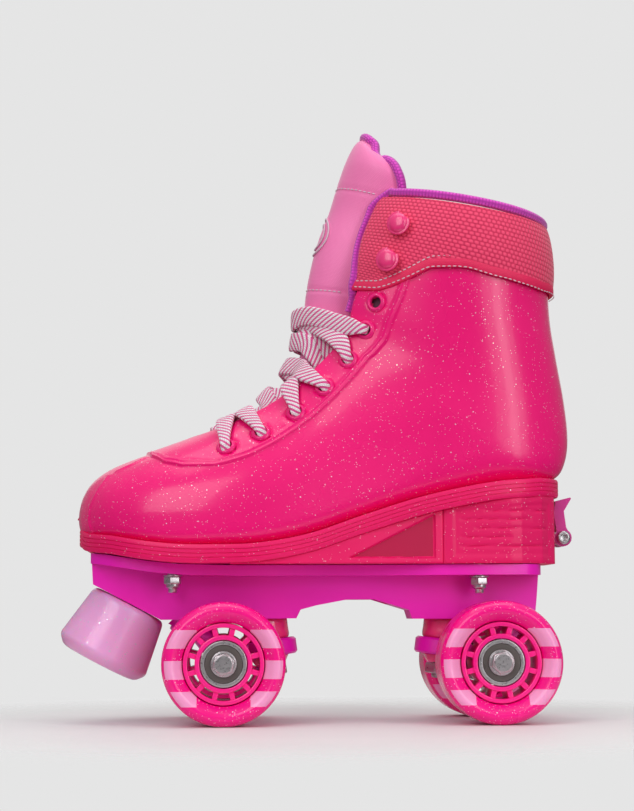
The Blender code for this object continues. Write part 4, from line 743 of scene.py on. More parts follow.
def relief(t, angle):
    """Height of the moulded relief over the boot's plain surface. The lacing panel is a plateau with two ridges
    just inside its edge; the toe cap's seam is one ridge; round each eyelet the surface sinks. Distances from a
    seam are the difference from the seam's own line divided by the length of its gradient."""
    sizes = bpy.context.scene.skate_sizes
    a = np.abs((angle + math.pi) % (2 * math.pi) - math.pi)
    per_t, per_a = reaches(t, np.maximum(a, 0.02))
    slope = (np.interp(t + 0.02, *SEAM.T) - np.interp(t - 0.02, *SEAM.T)) / 0.04
    d = (np.interp(t, *SEAM.T) - a) / np.sqrt((slope / per_t) ** 2 + (1 / per_a) ** 2)
    high = sizes.panel_height / MM
    up = high * smooth(d / 1.3)
    for at, tall in ((0.8, 0.4), (3.3, 0.45)):
        up = up + tall * np.exp(-(((d - at) / 0.5) ** 2))
    slope = (np.interp(a + 0.01, *TOE_SEAM.T) - np.interp(a - 0.01, *TOE_SEAM.T)) / 0.02
    e = (t - np.interp(a, *TOE_SEAM.T)) / np.sqrt((1 / per_t) ** 2 + (slope / per_a) ** 2)
    up = up + 0.7 * np.exp(-((e / 0.75) ** 2)) * smooth((a - 0.36) / 0.05) * smooth((2.5 - a) / 0.3)
    sunk = np.zeros_like(up)
    here = boot_surface(t, angle)
    for at, along in EYELETS:
        for side in (1, -1):
            centre = boot_surface(np.array(at), np.array(float(depth_angle(at, along)) * side))
            sunk = np.maximum(sunk, smooth((4.3 - np.linalg.norm(here - centre, axis=-1)) / 1.3))
    return up * (1 - sunk) - 2.3 * sunk


def build_shell():
    """The shell: a wall between the boot's surface raised by its relief and the same surface SHELL_T inside."""
    rows = np.concatenate([np.linspace(0, 2.6, 24), np.arange(2.66, 5.2, 0.06), np.arange(5.22, 5.8, 0.03),
                           np.arange(5.84, THROAT_START - 0.02, 0.06),
                           THROAT_START + np.linspace(0, 1, 112) * (TOP - THROAT_START)])
    guide = np.maximum(np.interp(rows, *SEAM.T), 0.5)
    _, per_a = reaches(rows, guide)
    a0 = throat_angle(rows)
    lip = np.array([0.0, 0.3, 0.8, 1.5]) / 40.0
    first = a0[:, None] + lip * np.clip(a0, 0.1, 1)[:, None] / 0.5
    parts = [first]
    a1, a2 = np.maximum(guide - 4.2 / per_a, first[:, -1] + 0.05), guide + 1.6 / per_a
    parts.append(first[:, -1:] + (a1 - first[:, -1])[:, None] * np.linspace(0, 1, 15)[1:])
    parts.append(a1[:, None] + (a2 - a1)[:, None] * np.linspace(0, 1, 17)[1:])
    parts.append(a2[:, None] + (math.pi - a2)[:, None] * np.linspace(0, 1, 50)[1:])
    half = np.concatenate(parts, 1)
    angle = np.concatenate([half, 2 * math.pi - half[:, -2::-1]], 1)
    t = np.repeat(rows[:, None], angle.shape[1], 1)
    _, per_a = reaches(t, angle)
    edge = (np.minimum(angle, 2 * math.pi - angle) - a0[:, None]) * per_a
    lip = np.where(t >= THROAT_START, (1 - np.clip(edge / 1.4, 0, 1)) ** 2, 0.0)
    outer = boot_point(t, angle, relief(t, angle) * (1 - lip) - 0.8 * lip)
    inner = boot_point(t, angle, -SHELL_T + 0.8 * lip)
    points, faces, _ = slab(outer, inner, None, int(np.sum(rows < THROAT_START - 1e-9)))
    put_mesh("boot_shell_moulding", points, faces, FINISH["boot"], slot="boot_plastic",
             replaces=("boot_shell",), angle=60)


def on_boot(t, along, side, points, lift):
    """Points given about the Z axis, stood on the boot's surface at a station and a share of its depth."""
    angle = np.array(float(depth_angle(t, along)) * side)
    normal = boot_normal(np.array(t), angle)
    up = boot_surface(np.array(t + 0.1), angle) - boot_surface(np.array(t - 0.1), angle)
    up -= normal * np.dot(up, normal)
    up /= np.linalg.norm(up)
    return boot_point(np.array(t), angle,
                      np.array(lift)) + points @ np.stack([np.cross(up, normal), up, normal])


def build_eyelets():
    """Fourteen moulded rings: a round lip about each hole, with a dark disc set deep inside as painted shade in
    the hole.
    """
    high = bpy.context.scene.skate_sizes.panel_height / MM
    ring, faces, _ = lathe(round_ring([(2.7, -1.8), (2.7, 0.9), (3.6, 1.35), (4.8, 0.5), (4.9, -0.6)], 0.6,
                                      5), 40)
    # the dark disc is painted shade: it stands for the darkness inside each eyelet hole
    floor, hole_shade_faces, _ = lathe([(0, -0.5), (3.2, -0.5), (3.2, 0), (0, 0)], 24)
    rings, hole_shade_discs = [], []
    for t, along in EYELETS:
        for side in (1, -1):
            rings.append((on_boot(t, along, side, ring, high), faces))
            hole_shade_discs.append((on_boot(t, along, side, floor, -1.9), hole_shade_faces))
    points, quads, _ = joined(rings)
    put_mesh("eyelet_rings", points, quads, FINISH["eyelet"], slot="boot_plastic")
    # the eyelet holes' painted shade, in the dark pivot rubber
    points, quads, _ = joined(hole_shade_discs)
    put_mesh("eyelet_hole_painted_shade", points, quads, FINISH["pivot"], slot="lining")


def rim_loft(x, low, high, top, bottom, profile):
    """A slab with a shaped edge: for each (out, height) of the profile, the outline moved out by out at that
    share of the way from bottom to top; the first and last rows are closed from side to side."""
    edge = np.concatenate([np.stack([x, low], 1), np.stack([x, high], 1)[::-1]])
    tangent = np.roll(edge, -1, 0) - np.roll(edge, 1, 0)
    tangent[0] = edge[1] - edge[-1]
    normal = np.stack([tangent[:, 1], -tangent[:, 0]], 1)
    normal /= np.linalg.norm(normal, axis=1, keepdims=True)
    middle = np.stack([edge[:, 0],
                       np.tile((low + high) / 2, 2)[np.r_[0:len(x), 2 * len(x) - 1:len(x) - 1:-1]]], 1)
    normal *= np.sign(np.sum(normal * (edge - middle), axis=1, keepdims=True) + 1e-9)
    up, down = np.concatenate([top, top[::-1]]), np.concatenate([bottom, bottom[::-1]])
    rows = [np.column_stack([edge + normal * out, down + (up - down) * share]) for out, share in profile]
    n, m = len(x), len(edge)
    faces = quads_of(len(rows), m, wrap=True).tolist()
    for first in (0, (len(rows) - 1) * m):
        faces += [[first + i, first + i + 1, first + m - 2 - i, first + m - 1 - i] for i in range(n - 1)]
    return np.concatenate(rows), faces


def grooved(lines, depth, width, edge=0.12):
    """An edge profile from bottom to top: rounded at both ends, with a fine groove at each line."""
    profile = [(-1.4, 0.0), (-0.45, 0.015), (0.0, edge)]
    for at in lines:
        profile += [(0.0, at - width), (-depth, at - width * 0.35), (-depth, at + width * 0.35),
                    (0.0, at + width)]
    return profile + [(0.0, 1 - edge), (-0.45, 0.985), (-1.4, 1.0)]


RIM_OUT, RIM_LIP = 0.3, 3.2     # how far the rim stands out, and how far it laps up the boot


def build_outsole():
    """The sole's rim, with three fine grooves all round it."""
    x, low, high = curve_through(SOLE_EDGE, 150).T
    top = seam_height(x)
    profile = grooved((0.30, 0.52, 0.74), 0.4, 0.022)
    points, faces = rim_loft(x, low - RIM_OUT, high + RIM_OUT, top + RIM_LIP, top - SOLE_T, profile)
    put_mesh("outsole_rim", points, faces, FINISH["sole"], slot="sole", replaces=("outsole",), angle=50)


def side_slab(name, x, half, low, high, depth, material, replaces=()):
    """A block between two side walls, each a grid over x and the height from low to high, standing at the
    block's half width less the depth of its panels there; the walls are joined round their edges."""
    gx = np.repeat(x[:, None], 40, 1)
    v = np.repeat(np.linspace(0, 1, 40)[None], len(x), 0)
    gz = low[:, None] + (high - low)[:, None] * v
    edge = np.minimum(np.minimum(v, 1 - v) * (high - low)[:, None], np.minimum(gx - x[0], x[-1] - gx))
    y = half[:, None] - depth(gx, gz) - 0.5 * (1 - np.clip(edge / 0.6, 0, 1)) ** 2
    points, faces, _ = slab(np.stack([gx, -y, gz], -1), np.stack([gx, y, gz], -1))
    put_mesh(name, points, faces, material, slot="sole", replaces=replaces, angle=50)


WINDOW_X, WINDOW_TOP = (-10.0, 36.5), (76.5, 100.0)     # the slanting upper edge of the waist's window
WINDOW_LOW, WINDOW_DEEP = 78.2, 1.6


def window_depth(x, z):
    """Depth of the waist's window, a triangle that opens towards the heel under the sole's line."""
    under = np.minimum(np.interp(x, WINDOW_X, WINDOW_TOP) - z, z - WINDOW_LOW)
    inside = np.minimum(under, np.minimum(x - WINDOW_X[0] - 1.0, WINDOW_X[1] - x))
    return WINDOW_DEEP * smooth(inside / 0.9)


# height, start and end of each groove across the heel
HEEL_LINES = ((84.0, 48, 92), (88.3, 48, 74), (92.6, 55, 92), (96.9, 48, 84), (101.0, 60, 92))


def heel_bars(x, z):
    """Depth of the heel's panel: set in a little, with fine grooves of different lengths across it."""
    across = np.minimum(x - 45.0, 93.5 - x)
    inside = np.minimum(across, np.minimum(z - 79.0, np.interp(x, (45, 93), (102.0, 105.5)) - z))
    depth = 0.5 * smooth(inside / 0.8)
    for height, start, end in HEEL_LINES:
        line = np.exp(-(((z - height) / 0.42) ** 2)) * smooth((x - start) / 1.0) * smooth((end - x) / 1.0)
        depth = depth + 0.7 * line
    return depth


def build_heel():
    """The heel with its grooved panel, and the waist ahead of it with a sunk window in each side, its floor a
    darker panel of painted shade.
    """
    x = np.concatenate([np.linspace(40.4, 80, 60), np.linspace(80.8, 96.6, 30)])
    half = np.minimum(np.interp(x, SOLE_EDGE[:, 0], SOLE_EDGE[:, 2]) - 0.4, 33.0)
    low, high = np.full(len(x), PLATE_TOP + GAP), seam_height(x) - SOLE_T + 0.3
    side_slab("heel_stack", x, half, low, high, heel_bars, FINISH["heel"], ("heel_block",))
    x = np.linspace(-62.0, 40.6, 130)
    edge = curve_through(SOLE_EDGE, 200)
    waist = np.interp(x, (-62, -30, 0, 41), (45.0, 42.0, 38.0, 32.0))
    half = np.minimum(np.interp(x, edge[:, 0], -edge[:, 1]), waist)
    low = np.full(len(x), PLATE_TOP + GAP)
    high = np.maximum(seam_height(x) - SOLE_T + 0.3, low + 0.5)
    side_slab("waist_wedge", x, half, low, high, window_depth, FINISH["sole"])
    # a darker panel at the floor of each window: painted shade in the recess
    for label, side in (("outer", -1), ("inner", 1)):
        gx = np.repeat(np.linspace(-6.5, 36.2, 60)[:, None], 16, 1)
        top = np.interp(gx, WINDOW_X, WINDOW_TOP) - 0.3
        gz = 78.4 + np.maximum(top - 78.4, 0.05) * np.linspace(0, 1, 16)[None]
        y = np.interp(gx, x, half) - 1.5
        points, faces, _ = slab(np.stack([gx, side * y, gz], -1), np.stack([gx, side * (y - 1.0), gz], -1))
        put_mesh("waist_window_shade_" + label, points, faces, FINISH["waist"], slot="sole", angle=50)


def build_padding():
    """The soft parts inside: the cuff's padded lining, the footbed and the cup that follows the heel."""
    rows, columns = np.linspace(17.2, TOP, 26)[:, None], 120
    edge = throat_angle(rows[:, 0], 5.0)[:, None]
    share = np.linspace(0, 1, columns)[None]
    angle, t = edge + (2 * math.pi - 2 * edge) * share, np.repeat(rows, columns, 1)
    rim = np.sqrt(np.clip(np.minimum((t - 17.2) / 0.5, (TOP - t) / 0.35), 0, 1))
    rim = rim * np.clip(np.minimum(share, 1 - share) / 0.02, 0, 1) ** 0.5
    uv = np.stack([(angle - math.pi) * 0.036, t * 0.0105], -1)
    outer = boot_point(t, angle, -SHELL_T - 1.05 - 1.0 * (1 - rim))
    inner = boot_point(t, angle,
                       -SHELL_T - 1.2 - LINER_T * 1.15 * rim * (0.9 + 0.1 * np.cos(t * 9)) - 0.9 * (1 - rim))
    piece = put_mesh("cuff_padding", *slab(outer, inner, uv)[:2], FINISH["lining"], slot="lining",
                     uv=np.concatenate([uv.reshape(-1, 2)] * 2), replaces=("liner",), angle=70)
    x = np.linspace(-123.6, 29.6, 70)
    inset = np.interp(x, (-124, -90, 30), (16, 13, 13))
    low, high = (np.interp(x, SOLE_EDGE[:, 0], SOLE_EDGE[:, k]) for k in (1, 2))
    share = np.linspace(0, 1, 26)[None]
    y = (low + inset)[:, None] * (1 - share) + (high - inset)[:, None] * share
    floor = (seam_height(x) + SHELL_T + GAP + 2.6)[:, None]
    crown = 4.0 * np.clip(np.minimum(share, 1 - share) / 0.04, 0, 1) ** 0.5
    crown = crown * np.clip(np.minimum(x + 123.6, 29.6 - x) / 3, 0, 1)[:, None] ** 0.5
    gx = np.repeat(x[:, None], 26, 1)
    uv = np.stack([gx, y], -1) * MM
    points, faces, uvs = slab(np.stack([gx, y, floor + 0.4 + crown * 0.9], -1),
                              np.stack([gx, y, floor + 0.35 * (crown < 3.9)], -1), uv)
    piece = put_mesh("footbed_pad", points, faces, FINISH["lining"], slot="lining", uv=uvs,
                     replaces=("footbed",), angle=70)
    t, angle = np.meshgrid(np.linspace(12.3, 16.8, 40), np.linspace(0.665, 1.335, 60) * math.pi,
                           indexing="ij")
    away = np.minimum(np.minimum((t - 12.3) / 0.4, (16.8 - t) / 0.4),
                      np.minimum(angle / math.pi - 0.665, 1.335 - angle / math.pi) / 0.05)
    rim = np.sqrt(np.clip(away, 0, 1))
    uv = np.stack([(angle - math.pi) * 0.036, t * 0.0105], -1)
    outer = boot_point(t, angle, -SHELL_T - 1.4 - 1.2 * (1 - rim))
    inner = boot_point(t, angle, -SHELL_T - 2.9 - 2.3 * rim)
    points, faces, uvs = slab(outer, inner, uv)
    piece = put_mesh("heel_cup_pad", points, faces, FINISH["lining"], "heel_slide", "lining", uvs,
                     replaces=("heel_cup",), angle=70)


def stitch_row(path, normals, pitch, length, width):
    """Short flattened stitches along a line: one lozenge of three four-sided rings and two tips, placed on
    each point of the line spaced pitch apart."""
    step = np.concatenate([[0], np.cumsum(np.linalg.norm(np.diff(path, axis=0), axis=1))])
    at = np.arange(pitch, step[-1] - pitch / 2, pitch)
    centre = np.stack([np.interp(at, step, path[:, k]) for k in range(3)], 1)
    ahead = np.stack([np.interp(at + 0.5, step, path[:, k]) for k in range(3)], 1) - centre
    ahead /= np.linalg.norm(ahead, axis=1, keepdims=True)
    up = np.stack([np.interp(at, step, normals[:, k]) for k in range(3)], 1)
    up -= ahead * np.sum(up * ahead, axis=1, keepdims=True)
    up /= np.linalg.norm(up, axis=1, keepdims=True)
    side = np.cross(up, ahead)
    lozenge = ((-0.5, 0.0), (-0.38, 0.7), (0, 1), (0.38, 0.7), (0.5, 0.0))
    unit = [(u, w * math.cos(a), w * math.sin(a)) for u, w in lozenge for a in (0.785, 2.356, 3.927, 5.498)]
    unit = np.array(unit) * (length, width * 0.7, width * 0.45)
    points = centre[:, None] + np.einsum("up,pnc->nuc", unit, np.stack([ahead, side, up]))
    one = quads_of(5, 4, wrap=True)
    faces = (one[None] + (np.arange(len(at)) * len(unit))[:, None, None]).reshape(-1, 4)
    return points.reshape(-1, 3), faces


def cuff_edge(t):
    """The angle of the cuff's front edges: a little ahead of the throat's edge, more so near the top."""
    return throat_angle(t, -1.0) - 0.10 * smooth((t - 17.8) / 2.0)


def build_collar():
    """The padded woven cuff: thin along its stitched lower edge, full in the middle, with a flat binding
    strip along the wave, two rows of stitches, and knitted piping along the top and the front edges."""
    share = np.linspace(0, 1, 180)
    lower = np.interp(np.minimum(share, 1 - share) * 2, *COLLAR_EDGE.T)
    lower = lower + 0.35 * smooth((np.minimum(share, 1 - share) * 2 - 0.5) / 0.35)
    for _ in range(3):
        lower[1:-1] = (lower[:-2] + 2 * lower[1:-1] + lower[2:]) / 4
    v = (0.5 - 0.5 * np.cos(np.linspace(0, math.pi, 26)))[:, None]
    t = lower[None] * (1 - v) + TOP * v
    edge = cuff_edge(t)
    angle = edge + (2 * math.pi - 2 * edge) * share[None]
    full = (np.sin(math.pi * (0.06 + 0.88 * v)) ** 0.4) * (np.clip(np.minimum(share, 1 - share) / 0.012, 0.12,
                                                                   1) ** 0.5)[None]
    outer = boot_point(t, angle, GAP + COLLAR_T * full)
    uv = np.stack([(angle - math.pi) * 0.037, t * 0.0112], -1)
    points, faces, uvs = slab(outer, boot_point(t, angle, np.full(t.shape, GAP)), uv)
    piece = put_mesh("cuff_cover", points, faces, FINISH["mesh"], slot="cuff_weave", uv=uvs,
                     replaces=("collar",), angle=70)
    edge = cuff_edge(lower)
    angle = edge + (2 * math.pi - 2 * edge) * share
    path = boot_point(lower + 0.05, angle, np.full(180, GAP + 1.2))
    rise = boot_surface(np.minimum(lower + 0.5, TOP), angle) - boot_surface(lower - 0.5, angle)
    normals = boot_normal(lower, angle)
    points, faces, uvs = swept(path, rise, 5.6, 2.8, 12, 3.0)
    put_mesh("cuff_binding", points, faces, FINISH["strip"], slot="cuff_weave", uv=uvs)
    stitches = [stitch_row(boot_point(lower + up, angle, np.full(180, GAP + 2.6)), normals, 2.6, 1.8, 0.55)
                for up in (-0.08, 0.22)]
    points, faces, _ = joined(stitches)
    put_mesh("cuff_stitches", points, faces, FINISH["thread"], slot="cuff_weave")
    share = np.linspace(0, 1, 120)
    edge = float(cuff_edge(np.array(TOP)))
    angle = edge + (2 * math.pi - 2 * edge) * share
    path = boot_point(np.full(120, TOP), angle, 0.2)
    rise = boot_surface(np.full(120, TOP), angle) - boot_surface(np.full(120, TOP - 1), angle)
    path = path + rise / np.linalg.norm(rise, axis=1, keepdims=True) * (2.3 + GAP + 0.2)
    sides = []
    for side in (1, -1):
        t = np.linspace(16.0, TOP - 0.1, 30)
        front = boot_point(t, (cuff_edge(t) - 0.02) * side, 1.9 - 4.4 * smooth((17.9 - t) / 1.0))
        sides.append(front if side == 1 else front[::-1])
    path = np.concatenate([sides[0][:-1], path[2:-2], sides[1][1:]])
    path = curve_through(path[::2], 220)
    points, faces, uvs = swept(path, (0.0, 1.0, 0.0) + 0 * path + np.gradient(path, axis=0)[:, ::-1] * 0.01,
                               4.4, 4.4, 14)
    put_mesh("cuff_piping", points, faces, FINISH["knit"], slot="piping", uv=uvs, replaces=("collar_piping",),
             angle=80)


def tongue_sheet(rows, turn, lift):
    """Points lift outside the tongue's arch: across by the sine of the turn, inwards by the arch's fall."""
    crest, inward, half, depth = tongue_frame(rows)
    fall = (1 - np.abs(np.cos(turn)) ** 0.9) * depth
    points = crest + inward * fall[..., None]
    points[..., 1] = np.sin(turn) * half
    out = -inward * np.cos(turn)[..., None]
    out[..., 1] = np.sin(turn)
    return points + out * np.asarray(lift)[..., None]


def build_tongue():
    """The padded tongue: an arch over the instep, puffed in the middle and thin at its bound rim."""
    count, across = 130, 46
    last = len(TONGUE) - 1.0
    rows, turn = np.meshgrid(np.linspace(0, last, count), np.linspace(-1, 1, across) * math.pi / 2,
                             indexing="ij")
    rim = np.sqrt(np.clip(np.minimum(np.minimum(rows, last - rows) / 0.7, (math.pi / 2 - np.abs(turn)) / 0.5),
                          0, 1))
    seam = 0.55 * (np.exp(-(((rows - 7.05) / 0.07) ** 2)) + np.exp(-(((rows - 10.9) / 0.07) ** 2)))
    thick = 6.0 * (0.35 + 0.65 * rim)
    outer = tongue_sheet(rows, turn, -0.8 * (1 - rim) - seam * rim)
    inner = tongue_sheet(rows, turn, -thick)
    uv = np.stack([turn * 0.017, rows * 0.0125], -1)
    points, faces, uvs = slab(outer, inner, uv)
    piece = put_mesh("tongue_pad", points, faces, FINISH["satin"], slot="tongue_satin", uv=uvs,
                     replaces=("tongue",), angle=80)
    side = np.linspace(6.2, last - 0.05, 60)
    top = np.linspace(1, -1, 24)[1:-1] * math.pi / 2
    rows = np.concatenate([side, np.full(22, last), side[::-1]])
    turn = np.concatenate([np.full(60, math.pi / 2), top, np.full(60, -math.pi / 2)])
    path = curve_through(tongue_sheet(rows, turn, np.full(len(rows), -0.3))[::3], 260)
    middle = tongue_sheet(np.full(260, 12.0), np.zeros(260), np.zeros(260))
    points, faces, uvs = swept(path, path - middle, 4.4, 5.0, 14)
    put_mesh("tongue_binding", points, faces, FINISH["knit"], slot="tongue_satin", uv=uvs, angle=80)
    turn = np.linspace(-1.25, 1.25, 60)
    stitches = []
    for at in (7.05, 10.9):
        line = tongue_sheet(np.full(60, at), turn, np.full(60, 0.0))
        out = tongue_sheet(np.full(60, at), turn, np.full(60, 1.0)) - line
        stitches.append(stitch_row(line, out, 2.4, 1.7, 0.6))
    points, faces, _ = joined(stitches)
    put_mesh("tongue_stitches", points, faces, FINISH["thread"], slot="tongue_satin")
    rings = []
    for radius in (9.0, 6.2):
        a = np.linspace(0, 2 * math.pi, 65)[:-1]
        place = tongue_sheet(9.05 + radius * 0.078 * np.sin(a), radius / 16.4 * np.cos(a), np.full(64, 0.35))
        wide = place - place.mean(0)
        rings.append(closed_sweep(place, wide, 1.3, 0.9, 8))
    points, faces, _ = joined(rings)
    put_mesh("tongue_emblem_rings", points, faces, FINISH["thread"], slot="tongue_satin")


def lace_path():
    """The lace from one tucked end, zigzag down to the toe, straight across and zigzag back up. Each run
    leaves an eyelet on the outside, crosses the tongue, dips under the far edge and comes out of its eyelet."""
    wide_lace = bpy.context.scene.skate_sizes.lace_width / MM
    crest, inward, half, depth = tongue_frame(np.linspace(0, len(TONGUE) - 1, 400))
    stops = [(i, 1 if (LACED - 1 - i) % 2 == 0 else -1) for i in range(LACED - 1, -1, -1)]
    stops += [(i, -side) for i, side in reversed(stops)]
    points, across, width = [], [], []

    def put(point, wide, axis):
        points.append(np.asarray(point, float))
        width.append(wide)
        across.append(axis)

    def hole(i, side, out):
        t, along = EYELETS[i]
        return boot_point(np.array(t), np.array(float(depth_angle(t, along)) * side), np.array(out))

    def over_tongue(at, turn, lift):
        """A point above the tongue, where the boot's front profile is at station at."""
        k = int(np.argmin(np.linalg.norm(crest - boot_surface(np.array(at), np.array(0.0)), axis=1)))
        fall, rise = np.array([(1 - abs(math.cos(a)) ** 0.9) * depth[k] for a in (turn, turn + 0.01)])
        slope = np.array([rise - fall, (math.sin(turn + 0.01) - math.sin(turn)) * half[k]])
        slope /= np.linalg.norm(slope)
        point = crest[k] + inward[k] * (fall - slope[1] * lift)
        point[1] = math.sin(turn) * half[k] + slope[0] * lift
        return point

    for k, (i, side) in enumerate(stops):
        t, along = EYELETS[i]
        step = hole(i, side, 0.0) - boot_surface(np.array(t - 0.3),
                                                 np.array(float(depth_angle(t - 0.3, along)) * side))
        axis = step / np.linalg.norm(step)
        narrow = 0.42 * wide_lace
        if k == 0:
            for up, share, out in ((0.4, 0.34, -SHELL_T - 6.5), (0.2, 0.25, -SHELL_T - 5.0)):
                put(boot_point(np.array(t + up), np.array(float(depth_angle(t + up, share)) * side),
                               np.array(out)), narrow, axis)
        put(hole(i, side, -SHELL_T - 1.4), narrow, axis)
        put(hole(i, side, 3.6), narrow * 1.2, axis)
        if k == len(stops) - 1:
            put(hole(i, side, 2.2), narrow, axis)
            continue
        j, far = stops[k + 1]
        u, _ = EYELETS[j]
        near_t, far_t = t + (u - t) * 0.22, t + (u - t) * 0.78
        lift = 5.2 if k < LACED - 1 else 2.9
        middle = boot_surface(np.array((t + u) / 2), np.array(0.0))
        crown = int(np.argmin(np.linalg.norm(crest - middle, axis=1)))
        lengthwise = np.array([-inward[crown][2], 0.0, inward[crown][0]])
        put(boot_point(np.array(near_t), np.array(float(throat_angle(near_t)) * side), np.array(3.6)),
            wide_lace, axis)
        put(over_tongue(t + (u - t) * 0.36, -0.62 * side, max(lift - 1.2, 2.5)), wide_lace, lengthwise)
        put(over_tongue((t + u) / 2, 0.0, lift), wide_lace, lengthwise)
        put(over_tongue(t + (u - t) * 0.64, -0.62 * far, max(lift - 1.2, 2.5)), wide_lace, lengthwise)
        put(boot_point(np.array(far_t), np.array(float(throat_angle(far_t)) * far), np.array(-SHELL_T - 2.4)),
            0.6 * wide_lace, axis)
    return np.array(points), np.array(across), np.array(width)


def build_lace():
    """A flat woven ribbon along the lacing's path, its width and its plane read between the path's points."""
    points, across, width = lace_path()
    count = (len(points) - 1) * 9 + 1
    path = curve_through(points, count)
    share = np.linspace(0, len(points) - 1, count)
    share = np.floor(share) + smooth(share - np.floor(share))
    across = np.stack([np.interp(share, range(len(points)), across[:, k]) for k in range(3)], 1)
    wide = np.interp(share, range(len(points)), width)
    thick = bpy.context.scene.skate_sizes.lace_thickness / MM
    points, faces, uvs = swept(path, across, wide, thick, 16, 3.2)
    put_mesh("lace_ribbon", points, faces, FINISH["lace"], slot="lace", uv=uvs, replaces=("lace",), angle=50)


def build_hooks():
    """Four speed hooks: a base, a neck, a dome, and a round flange behind the dome with a bite out of it."""
    dome = rounded([(0, 0), (4.6, 0), (4.6, 1.0), (2.6, 1.5), (2.6, 2.4), (4.9, 2.7), (4.8, 3.9), (3.4, 5.2),
                    (0, 5.7)], 1.3, 6)
    cap, faces, _ = lathe(dome, 48)
    a = np.linspace(0.55, 2 * math.pi - 0.55, 40)
    bite = np.linspace(0.95, -0.95, 14)
    bow = 2.2 * np.cos(np.linspace(-1.2, 1.2, 14))
    outline = np.concatenate([np.stack([5.9 * np.sin(a + 0.4), 5.9 * np.cos(a + 0.4)], 1),
                              np.stack([(5.0 - bow) * np.sin(bite * 0.5 + 0.4),
                                        (5.0 - bow) * np.cos(bite * 0.5 + 0.4)], 1)[::-1]])
    mark, mark_faces = block(outline, 2.2, 3.4, 0.4, "Z")
    for number, (t, along) in enumerate(HOOKS, 1):
        for label, side in (("outer", 1), ("inner", -1)):
            name = f"hook_{label}_{number}"
            put_mesh(name + "_dome", on_boot(t, along, side, cap, COLLAR_T + 2 * GAP + 0.2), faces,
                     FINISH["hook"],
                     slot="hook_plastic", replaces=(name,))
            put_mesh(name + "_flange", on_boot(t, along, side, mark, COLLAR_T + 2 * GAP + 0.2), mark_faces,
                     FINISH["hook"],
                     slot="hook_plastic")


# ---------------------------------------------------------------- adjuster, plate and toe stop
def softened_copy(node_name, name, material, width, body=BODY, segments=2):
    """A copy of a rigid node with its loose triangles merged into flat faces and its edges rounded."""
    mesh = bpy.data.objects[node_name].data.copy()
    made = bmesh.new()
    made.from_mesh(mesh)
    bmesh.ops.remove_doubles(made, verts=made.verts, dist=4e-6)
    bmesh.ops.dissolve_limit(made, angle_limit=math.radians(1.2), verts=made.verts, edges=made.edges)
    bmesh.ops.recalc_face_normals(made, faces=made.faces)
    made.to_mesh(mesh)
    made.free()
    piece = bpy.data.objects.new(name, mesh)
    bpy.context.scene.collection.objects.link(piece)
    mesh.materials.clear()
    mesh.materials.append(material)
    mesh.shade_smooth()
    mesh.set_sharp_from_angle(angle=math.radians(35))
    soft = piece.modifiers.new("Rounded edges", "BEVEL")
    soft.width, soft.segments = width * MM, segments
    soft.limit_method, soft.angle_limit = "ANGLE", math.radians(38)
    soft.harden_normals, soft.miter_outer, soft.use_clamp_overlap = True, "MITER_ARC", True
    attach(piece, body)
    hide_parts(node_name)
    return piece


def refinish(material, *names):
    """Gives rigid nodes that stay as they are a detailed finish."""
    for name in names:
        mesh = bpy.data.objects[name].data
        if not mesh.materials:
            mesh.materials.append(material)
        for slot in bpy.data.objects[name].material_slots:
            slot.material = material


def build_adjuster():
    """The size lever with its pin, the clamp rod and the carriage inside the heel."""
    softened_copy("adjust_lever", "size_lever_blade", FINISH["lever"], 0.7, "lever", 3)
    refinish(FINISH["steel"], "clamp_rod")
    refinish(FINISH["zinc"], "heel_carriage")
    parts = []
    for side in (1, -1):
        y0 = 9.35
        head, faces, _ = lathe(rounded([(0, y0 - 1), (2.0, y0 - 1), (2.0, y0), (3.3, y0), (3.3, y0 + 1.2),
                                        (2.6, y0 + 1.9),
                                        (1.6, y0 + 1.9), (1.5, y0 + 0.9), (0, y0 + 0.8)], 0.25), 30,
                                        axis=(0, side, 0))
        parts.append((head, faces))
    shaft, faces, _ = lathe([(0, -9.4), (2.1, -9.4), (2.1, 9.4), (0, 9.4)], 24, axis=(0, 1, 0))
    parts.append((shaft, faces))
    points, quads, _ = joined(parts)
    put_mesh("lever_screw", points + (LEVER_PIN_X, 0, CLAMP_Z), quads, FINISH["steel"], BODY, "steel",
             replaces=("lever_pin",))


def build_plate():
    """The plate, with its edges rounded."""
    softened_copy("base_plate", "plate_casting", FINISH["plate"], 0.6)


POST_LOW, POST_HIGH, POST_R, THREAD_DEEP, POST_RIDGES = -20, 10.5, 4.6, 0.35, 31


def build_toe_stop():
    """The toe stop, turned with rounded shoulders, and the threaded post that shows through it."""
    profile = rounded([(0, -32), (19.5, -32), (23.4, -27.5), (22.8, -24.0), (19.2, -1.6), (17.4, 0), (7.5, 0),
                       (5.35, -0.4), (5.35, -20.3),
                       (0, -20.3)], 2.4, 7)
    points, faces, _ = lathe(profile, 88)
    origin = np.array((STOP_TOP[0], 0, STOP_TOP[1]))
    put_mesh("toe_stop_turned", placed(points, origin, STOP_TILT), faces, FINISH["stop"], slot="stop_rubber",
             replaces=("toe_stop",), angle=60)
    z = np.linspace(POST_LOW, POST_HIGH, POST_RIDGES * 2)
    r = POST_R + THREAD_DEEP * (np.arange(POST_RIDGES * 2) % 2)
    post = np.concatenate([[(0, POST_LOW)], np.stack([r, z], 1), [(0, POST_HIGH)]])
    points, faces, _ = lathe(post, 32)
    put_mesh("toe_stop_post", placed(points, origin, STOP_TILT), faces, FINISH["zinc"], slot="steel",
             replaces=("toe_stop_bolt",))


def nut_parts(flats, low, high, washer_r, washer_t):
    """A hexagon with a round washer under it, about the Z axis."""
    ring = [(0, low), (washer_r, low), (washer_r, low + washer_t), (0, low + washer_t)]
    washer, faces, _ = lathe(rounded(ring, 0.25), 40)
    return [(washer, faces), block(hexagon(flats, 0.3), low + washer_t, high, 0.5, "Z")]


